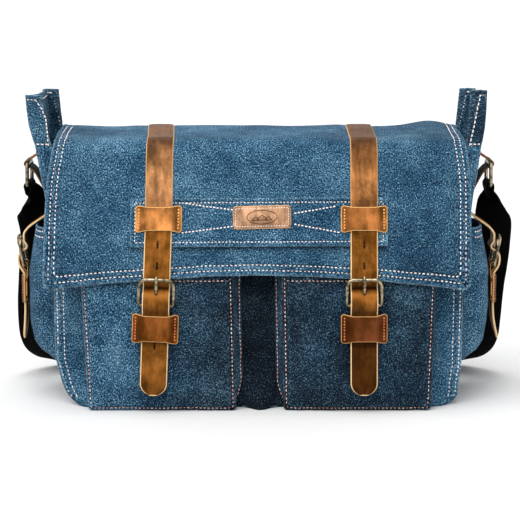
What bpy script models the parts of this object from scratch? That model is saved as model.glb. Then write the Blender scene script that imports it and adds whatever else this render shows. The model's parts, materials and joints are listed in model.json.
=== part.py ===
"""A denim messenger bag with leather closure straps, for Blender 4.5. Metres, +Z up, front towards -Y.

Origin: on the surface that the bag stands on, under the middle of its base.
Each real piece is one object. A moving piece hangs from an empty on its joint's axis.
"""

import math

import bmesh
import bpy
from mathutils import Matrix, Vector

# ---------------------------------------------------------------- driving sizes
GAP = 0.0003  # between pieces that touch
WALL = 0.003  # denim, interlining and seam allowance together

BODY_W = 0.430
BODY_D = 0.120
CORNER_R = 0.026  # lower corners of the front and back panels
RIM_H = 0.262  # mouth of the main compartment, at its middle
BACK_RIM_H = 0.268  # the back panel's mouth, under the flap's seam
BASE_FLAT = BODY_W / 2 - CORNER_R
EAR_TOP_H = 0.314  # where a panel's corner stands up past the flap
# The outer side of the right gusset above the straight part, as (x, z).
EAR_FLARE = [(0.215, 0.200), (0.221, 0.217), (0.228, 0.240), (0.232, 0.258), (0.237, 0.280), (0.241, 0.304)]

LINING_T = 0.001
LINING_TOP = 0.250
DIVIDER_Y, DIVIDER_T, DIVIDER_TOP = 0.025, 0.008, 0.222

POCKET_X = {"left": (-0.176, -0.020), "right": (0.013, 0.176)}  # both edges of a front pocket
POCKET_H = 0.143
POCKET_D = 0.028
POCKET_T = 0.0025
POCKET_CORNER_R = 0.006
POCKET_FACE_Y = -BODY_D / 2 - POCKET_D

SIDE_POCKET_W = 0.084
SIDE_POCKET_T = 0.002
SIDE_POCKET_ROOT = BODY_W / 2 + GAP  # where its back meets the gusset
# Outline of a side pocket and of the room in it, from its foot to its mouth, as (x, z) on the right side.
SIDE_POCKET = [(0.231, 0.045), (0.239, 0.056), (0.239, 0.131), (0.228, 0.180)]
SIDE_POCKET_ROOM = [(0.230, 0.047), (0.237, 0.057), (0.237, 0.131), (0.2245, 0.187)]

FLAP_T = 0.003
FLAP_FOLD = Vector((0, -0.064, 0.2735))  # where the flap turns down over the front
FLAP_DROP = 0.139  # from the fold to the lower edge
FLAP_LEAN = math.radians(11.5)  # the flap leans out over the pockets
FLAP_HINGE = Vector((0, 0.061, 0.2735))
FLAP_TOP_HALF_W, FLAP_LOW_HALF_W = 0.203, 0.2125
FLAP_WIDENS = 0.040  # below the fold, where it has its full width
FOLD_ROOM = 0.003  # of each half of the flap, before the fold's line

BAND_T = 0.002
BAND_SIZE = (0.256, 0.0475)
BAND_MIDDLE = -0.0833  # below the fold
LABEL_SIZE = (0.057, 0.022)
LABEL_T = 0.0018
LABEL_AT = (0.003, BAND_MIDDLE + 0.005)

STRAP_W = 0.027
STRAP_T = 0.0022
STRAP_X = {"left": -0.0995, "right": 0.1045}  # on the flap
TAIL_X = {"left": -0.1020, "right": 0.1050}  # at the flap's lower edge
TAIL_SPLAY = {"left": math.radians(2.2), "right": math.radians(-0.4)}  # the straps hang a little askew
TAIL_L, SIDE_TAIL_L = 0.119, 0.106  # of a closure's free end, below its hinge line
STRAP_HOLES_UP = (-0.106, -0.127)  # below the fold
SLOT_SIZE = (0.0030, 0.009)
PRONG_SLOT_UP, PRONG_SLOT_SIZE = -0.019, (0.0036, 0.024)
TAIL_HOLE_UP = -0.068

KEEPER_W = 0.050
KEEPER_T = 0.0016
KEEPER_UP_H, KEEPER_UP_AT = 0.027, -0.0802  # below the fold
KEEPER_LOW_H, KEEPER_LOW_AT = 0.029, -0.0505  # below the closure's hinge line

WIRE_R = 0.0018  # buckle frame
FRAME_HALF_W = 0.0169
PIVOT_BAR = (-0.0003, -0.028)  # of a buckle, as (out, up) from the closure's hinge line
TOP_BAR = (0.0032, -0.005)
PRONG_R, PRONG_EYE_W = 0.0012, 0.0034
# The leather patch behind a closure: its back as a distance out from the strap's middle, and its edges.
TAB_BACK, TAB_T = -0.0036, 0.0018
TAB_TOP, TAB_FOOT = -0.0336, -0.065
TAB_NECK_W = 0.024
SNAP_R, SNAP_UP = 0.009, -0.049
SNAP_CAP_T, SNAP_BASE_T = 0.0012, 0.0028
SNAP_HINGE_Z = 0.1383  # the height of the front closures' hinge lines
SIDE_HINGE = (0.2435, 0.166)  # of the right side closure, as (x, z)

RING_BAR = Vector((0.238, 0, 0.244))  # the bar of the right strap ring, in its leather tab
RING_R = 0.0020
RING_HALF_W = 0.0215
RING_DROP = 0.023
RING_TAB_W, STRAP_LOOP_W = 0.036, 0.035
SHOULDER_W = 0.038
SHOULDER_T = 0.0022

ADJUSTER_X = 0.030  # from the middle of the shoulder strap
ADJUSTER_RAIL = 0.0028
ADJUSTER_HALF_L = 0.013

ZIP_Z = 0.196
ZIP_HALF_L = 0.125
ZIP_TAPE_H, ZIP_TAPE_T = 0.026, 0.0012
ZIP_PULLER_T = 0.0010


# ---------------------------------------------------------------- scene and materials
def clear_scene():
    for obj in list(bpy.data.objects):
        bpy.data.objects.remove(obj)


def material(name, colour, roughness, metallic=0.0):
    made = bpy.data.materials.new(name)
    made.use_nodes = True
    shader = made.node_tree.nodes["Principled BSDF"]
    shader.inputs["Base Color"].default_value = (*colour, 1)
    shader.inputs["Roughness"].default_value = roughness
    shader.inputs["Metallic"].default_value = metallic
    return made


clear_scene()
BAG = bpy.data.collections.new("messenger_bag")
CUTTERS = bpy.data.collections.new("cutters")
CUTTERS.hide_render = True
for collection in (BAG, CUTTERS):
    bpy.context.scene.collection.children.link(collection)

DENIM = material("denim", (0.055, 0.125, 0.20), 0.85)
COTTON = material("lining_cotton", (0.09, 0.085, 0.08), 0.9)
FOAM = material("padded_cotton", (0.10, 0.095, 0.09), 0.9)
LEATHER = material("leather", (0.26, 0.105, 0.03), 0.5)
BRASS = material("antique_brass", (0.42, 0.35, 0.22), 0.35, 1.0)
WEBBING = material("webbing", (0.008, 0.007, 0.008), 0.8)


# ---------------------------------------------------------------- building blocks
def add(obj, finish, parent=None):
    BAG.objects.link(obj)
    obj.data.materials.clear()
    obj.data.materials.append(finish)
    obj.parent = parent
    return obj


def pivot(name, at, turn=(0, 0, 0), parent=None):
    """An empty on a joint's axis, or at the origin of a leaning face."""
    empty = bpy.data.objects.new(name, None)
    BAG.objects.link(empty)
    empty.location = at
    empty.rotation_euler = turn
    empty.parent = parent
    return empty


def mesh_object(name, bm):
    mesh = bpy.data.meshes.new(name)
    bmesh.ops.recalc_face_normals(bm, faces=bm.faces)
    bm.to_mesh(mesh)
    bm.free()
    mesh.shade_smooth()
    mesh.set_sharp_from_angle(angle=math.radians(35))
    return bpy.data.objects.new(name, mesh)


TURNS = {
    "XZ": Matrix.Rotation(math.radians(90), 4, "X"),
    "YZ": Matrix.Rotation(math.radians(90), 4, "Z") @ Matrix.Rotation(math.radians(90), 4, "X"),
    "XY": Matrix.Identity(4),
}


def plate(name, loops, thickness, plane, middle=(0, 0, 0)):
    """A flat outline, with any holes as further loops, extruded evenly to both sides of its plane."""
    curve = bpy.data.curves.new(name, "CURVE")
    curve.dimensions = "2D"
    curve.fill_mode = "BOTH"
    curve.extrude = thickness / 2
    for loop in loops:
        spline = curve.splines.new("POLY")
        spline.points.add(len(loop) - 1)
        for point, (a, b) in zip(spline.points, loop):
            point.co = (a, b, 0, 1)
        spline.use_cyclic_u = True
    source = bpy.data.objects.new(name, curve)
    BAG.objects.link(source)
    graph = bpy.context.evaluated_depsgraph_get()
    mesh = bpy.data.meshes.new_from_object(source.evaluated_get(graph))
    bpy.data.objects.remove(source)
    bpy.data.curves.remove(curve)
    bm = bmesh.new()
    bm.from_mesh(mesh)
    bpy.data.meshes.remove(mesh)
    bmesh.ops.remove_doubles(bm, verts=bm.verts, dist=1e-6)
    bmesh.ops.transform(bm, matrix=Matrix.Translation(middle) @ TURNS[plane], verts=bm.verts)
    return mesh_object(name, bm)


def box(name, low, high):
    bm = bmesh.new()
    bmesh.ops.create_cube(bm, size=1)
    low, high = Vector(low), Vector(high)
    size = Matrix.Diagonal((*(high - low), 1))
    bmesh.ops.transform(bm, matrix=Matrix.Translation((low + high) / 2) @ size, verts=bm.verts)
    return mesh_object(name, bm)


def rod(name, radius, length, along, middle, sides=16):
    turn = Matrix.Rotation(math.radians(90), 4, {"X": "Y", "Y": "X"}[along])
    bm = bmesh.new()
    bmesh.ops.create_cone(bm, cap_ends=True, segments=sides, radius1=radius, radius2=radius, depth=length)
    bmesh.ops.transform(bm, matrix=Matrix.Translation(middle) @ turn, verts=bm.verts)
    return mesh_object(name, bm)


def wire(name, points, radius, closed):
    curve = bpy.data.curves.new(name, "CURVE")
    curve.dimensions = "3D"
    curve.bevel_depth = radius
    curve.bevel_resolution = 2
    curve.use_fill_caps = not closed
    spline = curve.splines.new("POLY")
    spline.points.add(len(points) - 1)
    for point, co in zip(spline.points, points):
        point.co = (*co, 1)
    spline.use_cyclic_u = closed
    return bpy.data.objects.new(name, curve)


def solid_wire(name, points, radius):
    """An open wire as a closed mesh, which a Boolean can join."""
    source = wire(name, points, radius, closed=False)
    BAG.objects.link(source)
    mesh = bpy.data.meshes.new_from_object(source.evaluated_get(bpy.context.evaluated_depsgraph_get()))
    curve = source.data
    bpy.data.objects.remove(source)
    bpy.data.curves.remove(curve)
    bm = bmesh.new()
    bm.from_mesh(mesh)
    bpy.data.meshes.remove(mesh)
    bmesh.ops.remove_doubles(bm, verts=bm.verts, dist=1e-6)
    return mesh_object(name, bm)


def shape_with(obj, tool, operation, parent=None):
    """Cuts, joins or intersects obj with tool, which goes to the cutters."""
    CUTTERS.objects.link(tool)
    tool.parent = parent
    tool.hide_render = True
    tool.display_type = "WIRE"
    modifier = obj.modifiers.new(tool.name, "BOOLEAN")
    modifier.operation = operation
    modifier.object = tool


def arc(middle, radius, start, end, steps):
    """Points of an arc, from start to end in degrees."""
    turns = [math.radians(start + (end - start) * i / steps) for i in range(steps + 1)]
    return [(middle[0] + radius * math.cos(t), middle[1] + radius * math.sin(t)) for t in turns]


def mirrored(half):
    """Closes a right half outline, listed from its foot to its head, with its mirror image."""
    return half + [(-x, z) for x, z in reversed(half)]


def rounded_rectangle(half_w, low, high, radius, steps=3):
    corners = [(half_w, low, -90), (half_w, high, 0), (-half_w, high, 90), (-half_w, low, 180)]
    points = []
    for x, z, start in corners:
        middle = (x - math.copysign(radius, x), z + (radius if z == low else -radius))
        points += arc(middle, radius, start, start + 90, steps)
    return points


def slot_outline(up, size=SLOT_SIZE):
    half = size[0] / 2
    ends = size[1] / 2 - half
    return arc((0, up + ends), half, 0, 180, 4) + arc((0, up - ends), half, 180, 360, 4)


def smooth_route(points, count):
    """count points on a Catmull-Rom curve through the given ones."""
    padded = [points[0] * 2 - points[1], *points, points[-1] * 2 - points[-2]]
    spans = len(points) - 1
    route = []
    for i in range(count):
        at = i / (count - 1) * spans
        k = min(int(at), spans - 1)
        t = at - k
        a, b, c, d = padded[k : k + 4]
        route.append(
            0.5 * ((2 * b) + (c - a) * t + (2 * a - 5 * b + 4 * c - d) * t**2 + (3 * b - a - 3 * c + d) * t**3)
        )
    return route


# ---------------------------------------------------------------- main compartment
def panel_outline(rim):
    """Right half of a front or back panel: flat foot, round lower corner, flare, ear and mouth."""
    half = arc((BASE_FLAT, CORNER_R), CORNER_R, -90, 0, 8)
    half += EAR_FLARE
    half += [(0.213, EAR_TOP_H), (0.208, 0.276), (0.205, rim + 0.002), (0.100, rim)]
    return mirrored(half)


def make_panels():
    inner = BODY_D / 2 - WALL / 2
    add(plate("front_panel", [panel_outline(RIM_H)], WALL, "XZ", (0, -inner, 0)), DENIM)
    add(plate("back_panel", [panel_outline(BACK_RIM_H)], WALL, "XZ", (0, inner, 0)), DENIM)
    strip = BODY_D - 2 * (WALL + GAP)
    add(box("base_panel", (-BASE_FLAT, -strip / 2, 0), (BASE_FLAT, strip / 2, WALL)), DENIM)
    outer = arc((BASE_FLAT, CORNER_R), CORNER_R, -90, 0, 8) + EAR_FLARE
    outer[0] = (BASE_FLAT + GAP, 0)
    inside = arc((BASE_FLAT, CORNER_R), CORNER_R - WALL, -90, 0, 8)
    inside += [(x - WALL, z) for x, z in EAR_FLARE]
    inside[0] = (BASE_FLAT + GAP, WALL)
    for side, sign in (("left", -1), ("right", 1)):
        loop = [(sign * x, z) for x, z in outer + inside[::-1]]
        add(plate(f"{side}_gusset", [loop], strip, "XZ"), DENIM)


def make_inside():
    low = WALL + GAP
    depth = BODY_D - 2 * (WALL + GAP)
    half_w = BODY_W / 2 - WALL - GAP
    radius = CORNER_R - low

    def bag_outline(inset, top):
        half = arc((half_w - radius, low + radius), radius - inset, -90, 0, 8)
        return mirrored(half + [(half_w - inset, 0.196), (half_w - inset, top)])

    lining = add(plate("lining", [bag_outline(0, LINING_TOP)], depth, "XZ"), COTTON)
    inside = plate("lining_inside", [bag_outline(LINING_T, LINING_TOP + 0.010)], depth - 2 * LINING_T, "XZ")
    shape_with(lining, inside, "DIFFERENCE")
    sheet = bag_outline(LINING_T + GAP, DIVIDER_TOP)
    add(plate("laptop_divider", [sheet], DIVIDER_T, "XZ", (0, DIVIDER_Y, 0)), FOAM)


# ---------------------------------------------------------------- pockets
def make_front_pocket(side):
    low_x, high_x = POCKET_X[side]
    width, middle = high_x - low_x, (low_x + high_x) / 2
    root = pivot(f"{side}_pocket_place", (middle, 0, 0))
    face = [rounded_rectangle(width / 2, GAP, POCKET_H, 0.004)]
    y = POCKET_FACE_Y + POCKET_T / 2
    add(plate(f"{side}_pocket_front", face, POCKET_T, "XZ", (0, y, 0)), DENIM, root)
    half, t = width / 2, POCKET_T
    corner, top = POCKET_CORNER_R, POCKET_H - 0.004
    outer = arc((half - corner, GAP + corner), corner, -90, 0, 3) + [(half, top)]
    inner = [(half - t, top), (half - t, GAP + t)]
    strip = mirrored(outer + inner)
    deep = POCKET_D - POCKET_T - 2 * GAP
    y = -BODY_D / 2 - GAP - deep / 2
    add(plate(f"{side}_pocket_gusset", [strip], deep, "XZ", (0, y, 0)), DENIM, root)


def make_side_pocket(side, sign):
    def closed(line, back):
        return [(sign * x, z) for x, z in [(back, line[0][1]), *line, (back, line[-1][1])]]

    shell = plate(f"{side}_side_pocket", [closed(SIDE_POCKET, SIDE_POCKET_ROOT)], SIDE_POCKET_W, "XZ")
    add(shell, DENIM)
    t = SIDE_POCKET_T
    room = closed(SIDE_POCKET_ROOM, SIDE_POCKET_ROOT + t)
    inside = plate(f"{side}_side_pocket_inside", [room], SIDE_POCKET_W - 2 * t, "XZ")
    shape_with(shell, inside, "DIFFERENCE")


# ---------------------------------------------------------------- flap
def patch_outline(size, at):
    """A rectangle with small round corners, about a point."""
    outline = rounded_rectangle(size[0] / 2, -size[1] / 2, size[1] / 2, 0.003, 2)
    return [(x + at[0], z + at[1]) for x, z in outline]


def make_flap():
    hinge = pivot("flap_hinge", FLAP_HINGE)
    length = FLAP_HINGE.y - FLAP_FOLD.y - 0.004
    half_w = FLAP_TOP_HALF_W
    outline = [(-half_w, -length), (half_w, -length), (half_w - 0.004, -0.001), (-half_w + 0.004, -0.001)]
    add(plate("flap_top_panel", [outline], FLAP_T, "XY"), DENIM, hinge)

    fold = pivot("flap_fold", FLAP_FOLD - FLAP_HINGE, (-FLAP_LEAN, 0, 0), hinge)
    low_w = FLAP_LOW_HALF_W
    face = mirrored([(low_w, -FLAP_DROP), (low_w, -FLAP_WIDENS), (half_w, -FOLD_ROOM)])
    add(plate("flap_front_panel", [face], FLAP_T, "XZ"), DENIM, fold)

    front = -FLAP_T / 2 - GAP
    band = patch_outline(BAND_SIZE, (0, BAND_MIDDLE))
    add(plate("flap_band", [band], BAND_T, "XZ", (0, front - BAND_T / 2, 0)), DENIM, fold)
    front -= BAND_T + GAP
    label = patch_outline(LABEL_SIZE, LABEL_AT)
    add(plate("label_patch", [label], LABEL_T, "XZ", (0, front - LABEL_T / 2, 0)), LEATHER, fold)

    strap_y = front - STRAP_T / 2
    for side in ("left", "right"):
        on_top = FLAP_T / 2 + GAP + STRAP_T / 2
        run = [(-STRAP_W / 2, -length), (STRAP_W / 2, -length)]
        run += [(STRAP_W / 2, -FOLD_ROOM), (-STRAP_W / 2, -FOLD_ROOM)]
        add(plate(f"{side}_strap_top", [run], STRAP_T, "XY", (STRAP_X[side], 0, on_top)), LEATHER, hinge)
        place = pivot(f"{side}_strap_place", (STRAP_X[side], strap_y, 0), (0, 0, 0), fold)
        outline = [(STRAP_W / 2, -0.004), (STRAP_W / 2, -FLAP_DROP + 0.002)]
        holes = [slot_outline(up) for up in STRAP_HOLES_UP]
        add(plate(f"{side}_strap", [mirrored(outline), *holes], STRAP_T, "XZ"), LEATHER, place)
        add(keeper(f"{side}_upper_keeper", KEEPER_UP_H, KEEPER_UP_AT), LEATHER, place)
        low_edge = (TAIL_X[side], strap_y, -FLAP_DROP)
        hang = pivot(f"{side}_closure_hinge", low_edge, (FLAP_LEAN, 0, 0), fold)
        splay = pivot(f"{side}_closure_splay", (0, 0, 0), (0, TAIL_SPLAY[side], 0), hang)
        make_closure(side, splay, tail=TAIL_L, snap=True)


# ---------------------------------------------------------------- buckled closures
def keeper(name, height, up):
    """A leather loop sewn down at both ends, with the strap running under its raised middle."""
    t, half = KEEPER_T, KEEPER_W / 2
    low = STRAP_T / 2
    raised = STRAP_T / 2 + GAP
    edge = STRAP_W / 2
    under = [(edge + 0.0007, -raised), (edge + 0.0021, low), (half, low)]
    over = [(half, low - t), (edge + 0.0029, low - t), (edge + 0.0017, -raised - t)]
    loop = mirrored(under + over)
    return plate(name, [loop], height, "XY", (0, 0, up))


def make_closure(side, hang, tail, snap):
    """The free end of a strap with its buckle, on a leather patch.

    hang is on the strap's middle, and outward is -Y.
    """
    half_t = STRAP_T / 2
    # The strap's middle line, as (out, up): behind the top bar, over the pivot bar, then down over the patch.
    middle = [(0, -0.002), (0, -0.007), (0.0006, -0.012), (0.003, -0.020)]
    middle += [(0.0044, -0.026), (0.0044, -0.029), (-0.0004, -0.0355), (-0.0004, -tail)]
    profile = offset_strip(middle, half_t)
    strap = plate(f"{side}_strap_tail", [[(-out, up) for out, up in profile]], STRAP_W, "YZ")
    add(strap, LEATHER, hang)
    half_w = STRAP_W / 2
    tip = arc((0, -tail + half_w), half_w, 180, 360, 10)
    face = [(half_w, 0), (-half_w, 0), *tip]
    holes = [slot_outline(PRONG_SLOT_UP, PRONG_SLOT_SIZE), slot_outline(TAIL_HOLE_UP)]
    shape_with(strap, plate(f"{side}_tail_outline", [face, *holes], 0.040, "XZ"), "INTERSECT", hang)

    out, up = PIVOT_BAR
    half_k, half_neck = KEEPER_W / 2, TAB_NECK_W / 2
    tab = box(f"{side}_closure_tab", (-half_k, -TAB_BACK - TAB_T, TAB_FOOT), (half_k, -TAB_BACK, TAB_TOP))
    add(tab, LEATHER, hang)
    barrel_r = WIRE_R + GAP + 0.0010
    neck = box(f"{side}_tab_neck", (-half_neck, -TAB_BACK - 0.0012, -0.040), (half_neck, -TAB_BACK, up))
    shape_with(tab, neck, "UNION", hang)
    shape_with(tab, rod(f"{side}_tab_barrel", barrel_r, TAB_NECK_W, "X", (0, -out, up)), "UNION", hang)
    bore_l = TAB_NECK_W + 0.006
    shape_with(tab, rod(f"{side}_tab_bore", WIRE_R + GAP, bore_l, "X", (0, -out, up)), "DIFFERENCE", hang)
    slot = box(f"{side}_tab_slot", (-0.0020, -out - 0.006, up - 0.0042), (0.0020, -out + 0.006, up + 0.006))
    shape_with(tab, slot, "DIFFERENCE", hang)

    holder = pivot(f"{side}_lower_keeper_place", (0, 0.0004, 0), (0, 0, 0), hang)
    add(keeper(f"{side}_lower_keeper", KEEPER_LOW_H, KEEPER_LOW_AT), LEATHER, holder)
    make_buckle(side, hang, barrel_r)
    if snap:
        make_snap(side, hang)


def offset_strip(middle, half):
    """The closed outline of a strip of even thickness along a middle line."""
    sides = ([], [])
    for i, point in enumerate(middle):
        before, after = middle[max(i - 1, 0)], middle[min(i + 1, len(middle) - 1)]
        along = Vector((after[0] - before[0], after[1] - before[1])).normalized()
        for line, sign in zip(sides, (1, -1)):
            line.append((point[0] - sign * half * along.y, point[1] + sign * half * along.x))
    return sides[0] + sides[1][::-1]


def make_buckle(side, hang, barrel_r):
    """The frame turns on its lower bar in the leather tab, and the prong turns on the same bar."""
    bar = Vector((0, -PIVOT_BAR[0], PIVOT_BAR[1]))
    top = Vector((0, -TOP_BAR[0], TOP_BAR[1]))
    reach = (top - bar).length
    lean = math.atan2(bar.y - top.y, top.z - bar.z)
    frame_pivot = pivot(f"{side}_buckle_pivot", bar, (lean, 0, 0), hang)
    outline = rounded_rectangle(FRAME_HALF_W, 0, reach, 0.0045, 4)
    add(wire(f"{side}_buckle_frame", [(x, 0, z) for x, z in outline], WIRE_R, True), BRASS, frame_pivot)

    prong_pivot = pivot(f"{side}_prong_pivot", (0, 0, 0), (-lean, 0, 0), frame_pivot)
    eye = rod(f"{side}_prong", barrel_r, PRONG_EYE_W, "X", (0, 0, 0))
    add(eye, BRASS, prong_pivot)
    # From the eye, through the strap's slot, to the front of the top bar, as (out, up) from the hinge line.
    route = [(0.00105, -0.0257), (0.0046, -0.017), (0.0065, -0.008), (0.0066, -0.0025)]
    points = [(0, -(out - PIVOT_BAR[0]), up - PIVOT_BAR[1]) for out, up in route]
    shape_with(eye, solid_wire(f"{side}_prong_rod", points, PRONG_R), "UNION", prong_pivot)
    bore = rod(f"{side}_prong_bore", WIRE_R + GAP, 0.010, "X", (0, 0, 0))
    shape_with(eye, bore, "DIFFERENCE", prong_pivot)


def make_snap(side, hang):
    """The two halves of a magnetic snap: a cap behind the patch, and a base on the pocket."""
    cap_front = TAB_BACK - GAP
    cap_at = Vector((0, -cap_front + SNAP_CAP_T / 2, SNAP_UP))
    cap = rod(f"{side}_snap_cap", SNAP_R, SNAP_CAP_T, "Y", cap_at, 20)
    add(cap, BRASS, hang)
    stud_at = cap_at + Vector((0, 0.0012, 0))
    shape_with(cap, rod(f"{side}_snap_stud", 0.002, 0.003, "Y", stud_at, 12), "UNION", hang)
    across = TAIL_X[side] + SNAP_UP * math.sin(TAIL_SPLAY[side])
    place = (across, POCKET_FACE_Y - GAP - SNAP_BASE_T / 2, SNAP_HINGE_Z + SNAP_UP)
    base = rod(f"{side}_snap_base", SNAP_R, SNAP_BASE_T, "Y", place, 20)
    add(base, BRASS)
    shape_with(base, rod(f"{side}_snap_socket", 0.003, 0.010, "Y", place, 12), "DIFFERENCE")


def make_side_closure(side, sign):
    """A strap from the gusset down over the side pocket, with the same buckled end as the front ones."""
    hinge = Vector((sign * SIDE_HINGE[0], 0, SIDE_HINGE[1]))
    line = [(0.2166, 0.1985), (0.2166, 0.1945), (0.2215, 0.1895)]
    line += [(0.2370, 0.1790), (0.2435, 0.1725), (0.2435, 0.1680)]
    profile = offset_strip([(sign * x, z) for x, z in line], STRAP_T / 2)
    add(plate(f"{side}_side_strap", [profile], STRAP_W, "XZ"), LEATHER)
    hang = pivot(f"{side}_side_closure_hinge", hinge, (0, 0, sign * math.radians(90)))
    make_closure(f"{side}_side", hang, tail=SIDE_TAIL_L, snap=False)


# ---------------------------------------------------------------- shoulder strap
def make_ring(side, sign):
    """A ring in a folded leather tab on the gusset, and the strap's sewn end loop on the ring."""
    x, z = sign * RING_BAR.x, RING_BAR.z
    bore = RING_R + GAP
    barrel = bore + 0.0018
    arm = RING_TAB_W
    outline = [
        (0.2325, 0.2500), (0.2300, 0.2480), (RING_BAR.x, z - 0.0005),
        (RING_BAR.x - 0.002, z - 0.0036), (0.2265, 0.2300), (0.2240, 0.2210), (0.2220, 0.2165),
        (0.2245, 0.2160), (0.2290, 0.2270), (RING_BAR.x + 0.0015, z - 0.0037),
        (RING_BAR.x + 0.0035, z + 0.001), (RING_BAR.x - 0.001, z + 0.0038), (0.2350, 0.2510),
    ]
    tab = plate(f"{side}_ring_tab", [[(sign * a, b) for a, b in outline]], arm, "XZ")
    add(tab, LEATHER)
    shape_with(tab, rod(f"{side}_ring_barrel", barrel, arm, "Y", (x, 0, z)), "UNION")
    shape_with(tab, rod(f"{side}_ring_bore", bore, arm + 0.01, "Y", (x, 0, z)), "DIFFERENCE")

    swing = pivot(f"{side}_ring_pivot", (x, 0, z))
    outline = rounded_rectangle(RING_HALF_W, -RING_DROP, 0, 0.003, 3)
    add(wire(f"{side}_strap_ring", [(0, a, b) for a, b in outline], RING_R, True), BRASS, swing)

    t, half_w = SHOULDER_T, STRAP_LOOP_W / 2
    loop = box(f"{side}_strap_loop", (-t, -half_w, -RING_DROP - 0.021), (t, half_w, -RING_DROP))
    add(loop, WEBBING, swing)
    around = rod(f"{side}_loop_round", bore + 0.002, STRAP_LOOP_W, "Y", (0, 0, -RING_DROP))
    shape_with(loop, around, "UNION", swing)
    shape_with(loop, rod(f"{side}_loop_bore", bore, 0.045, "Y", (0, 0, -RING_DROP)), "DIFFERENCE", swing)


# Right half of the strap's route behind the bag, from the end loop to the middle: place, way its face looks.
SHOULDER_ROUTE = [
    ((0.2385, 0.000, 0.1965), (1.00, 0.00, 0.15)),
    ((0.2410, 0.000, 0.1890), (0.95, 0.00, 0.35)),
    ((0.2490, 0.004, 0.1800), (0.80, 0.00, 0.60)),
    ((0.2590, 0.013, 0.1700), (0.85, -0.08, 0.52)),
    ((0.2642, 0.025, 0.1565), (0.97, -0.10, 0.20)),
    ((0.2650, 0.037, 0.1400), (1.00, -0.06, 0.00)),
    ((0.2620, 0.052, 0.1160), (0.99, 0.00, -0.12)),
    ((0.2560, 0.068, 0.0910), (0.96, 0.04, -0.26)),
    ((0.2460, 0.085, 0.0650), (0.91, 0.08, -0.40)),
    ((0.2320, 0.102, 0.0400), (0.80, 0.12, -0.58)),
    ((0.2120, 0.119, 0.0195), (0.58, 0.12, -0.80)),
    ((0.1860, 0.134, 0.0075), (0.25, 0.06, -0.97)),
    ((0.1540, 0.146, 0.0026), (0.02, 0.00, -1.00)),
    ((0.1150, 0.155, 0.0030), (0.00, 0.00, -1.00)),
    ((0.0760, 0.160, 0.0045), (0.00, 0.00, -1.00)),
    ((0.0380, 0.160, 0.0045), (0.00, 0.00, -1.00)),
    ((0.0000, 0.160, 0.0045), (0.00, 0.00, -1.00)),
]


def make_shoulder_strap():
    right = [(Vector(p), Vector(n)) for p, n in SHOULDER_ROUTE]
    left = [(Vector((-p.x, p.y, p.z)), Vector((-n.x, n.y, n.z))) for p, n in right]
    knots = left + right[-2::-1]
    count = 81
    middle = smooth_route([p for p, _ in knots], count)
    facing = smooth_route([n for _, n in knots], count)
    bm = bmesh.new()
    rows = []
    for i, at in enumerate(middle):
        along = (middle[min(i + 1, count - 1)] - middle[max(i - 1, 0)]).normalized()
        normal = (facing[i] - along * facing[i].dot(along)).normalized()
        across = along.cross(normal) * (SHOULDER_W / 2)
        rows.append((bm.verts.new(at - across), bm.verts.new(at + across)))
    for a, b in zip(rows, rows[1:]):
        bm.faces.new((a[0], a[1], b[1], b[0]))
    strap = add(mesh_object("shoulder_strap", bm), WEBBING)
    thick = strap.modifiers.new("thickness", "SOLIDIFY")
    thick.thickness = SHOULDER_T
    thick.offset = 0
    thick.use_even_offset = True


def make_adjuster():
    """A slide buckle: two rails, two bars over the webbing and one under it."""
    y, z = 0.160, 0.0045
    place = pivot("adjuster_slide", (ADJUSTER_X, y, z))
    half, rail, reach = SHOULDER_W / 2 + 0.0022, ADJUSTER_RAIL, ADJUSTER_HALF_L
    clear = SHOULDER_T / 2 + 0.0010
    low, high = -0.0040, 0.0040
    body = box("strap_adjuster", (-reach, half, low), (reach, half + rail, high))
    add(body, BRASS, place)
    shape_with(body, box("adjuster_rail", (-reach, -half - rail, low), (reach, -half, high)), "UNION", place)
    for name, x in (("front", -0.0105), ("rear", 0.0105)):
        low_corner = (x - 0.002, -half - 0.001, clear)
        bar = box(f"adjuster_{name}_bar", low_corner, (x + 0.002, half + 0.001, high - 0.0002))
        shape_with(body, bar, "UNION", place)
    under = box("adjuster_under_bar", (-0.002, -half - 0.001, low + 0.0002), (0.002, half + 0.001, -clear))
    shape_with(body, under, "UNION", place)


# ---------------------------------------------------------------- zipped pocket on the back
def make_back_zip():
    y = BODY_D / 2 + GAP
    half = ZIP_HALF_L
    foot, head = ZIP_Z - ZIP_TAPE_H / 2, ZIP_Z + ZIP_TAPE_H / 2
    tape = box("back_zip_tape", (-half, y, foot), (half, y + ZIP_TAPE_T, head))
    add(tape, COTTON)
    front = y + ZIP_TAPE_T + GAP
    slide = pivot("zip_slide", (-half + 0.012, front, ZIP_Z))
    body = box("back_zip_slider", (-0.006, 0, -0.0045), (0.006, 0.0026, 0.0045))
    add(body, BRASS, slide)
    bridge = box("zip_bridge", (-0.0015, 0.0020, -0.0035), (0.0015, 0.0052, 0.0035))
    shape_with(body, bridge, "UNION", slide)
    gap = box("zip_bridge_gap", (-0.004, 0.0026, -0.0022), (0.004, 0.0043, 0.0022))
    shape_with(body, gap, "DIFFERENCE", slide)
    swing = pivot("zip_puller_pivot", (0, 0.00345, 0), (0, 0, 0), slide)
    tongue = rounded_rectangle(0.0045, -0.0315, 0.0006, 0.0005, 2)
    eye = rounded_rectangle(0.0021, -0.0052, -0.0006, 0.0005, 2)
    add(plate("back_zip_puller", [tongue, eye], ZIP_PULLER_T, "XZ"), BRASS, swing)


# ---------------------------------------------------------------- the whole bag
def main():
    make_panels()
    make_inside()
    for side, sign in (("left", -1), ("right", 1)):
        make_front_pocket(side)
        make_side_pocket(side, sign)
        make_side_closure(side, sign)
        make_ring(side, sign)
    make_flap()
    make_shoulder_strap()
    make_adjuster()
    make_back_zip()


main()
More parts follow.
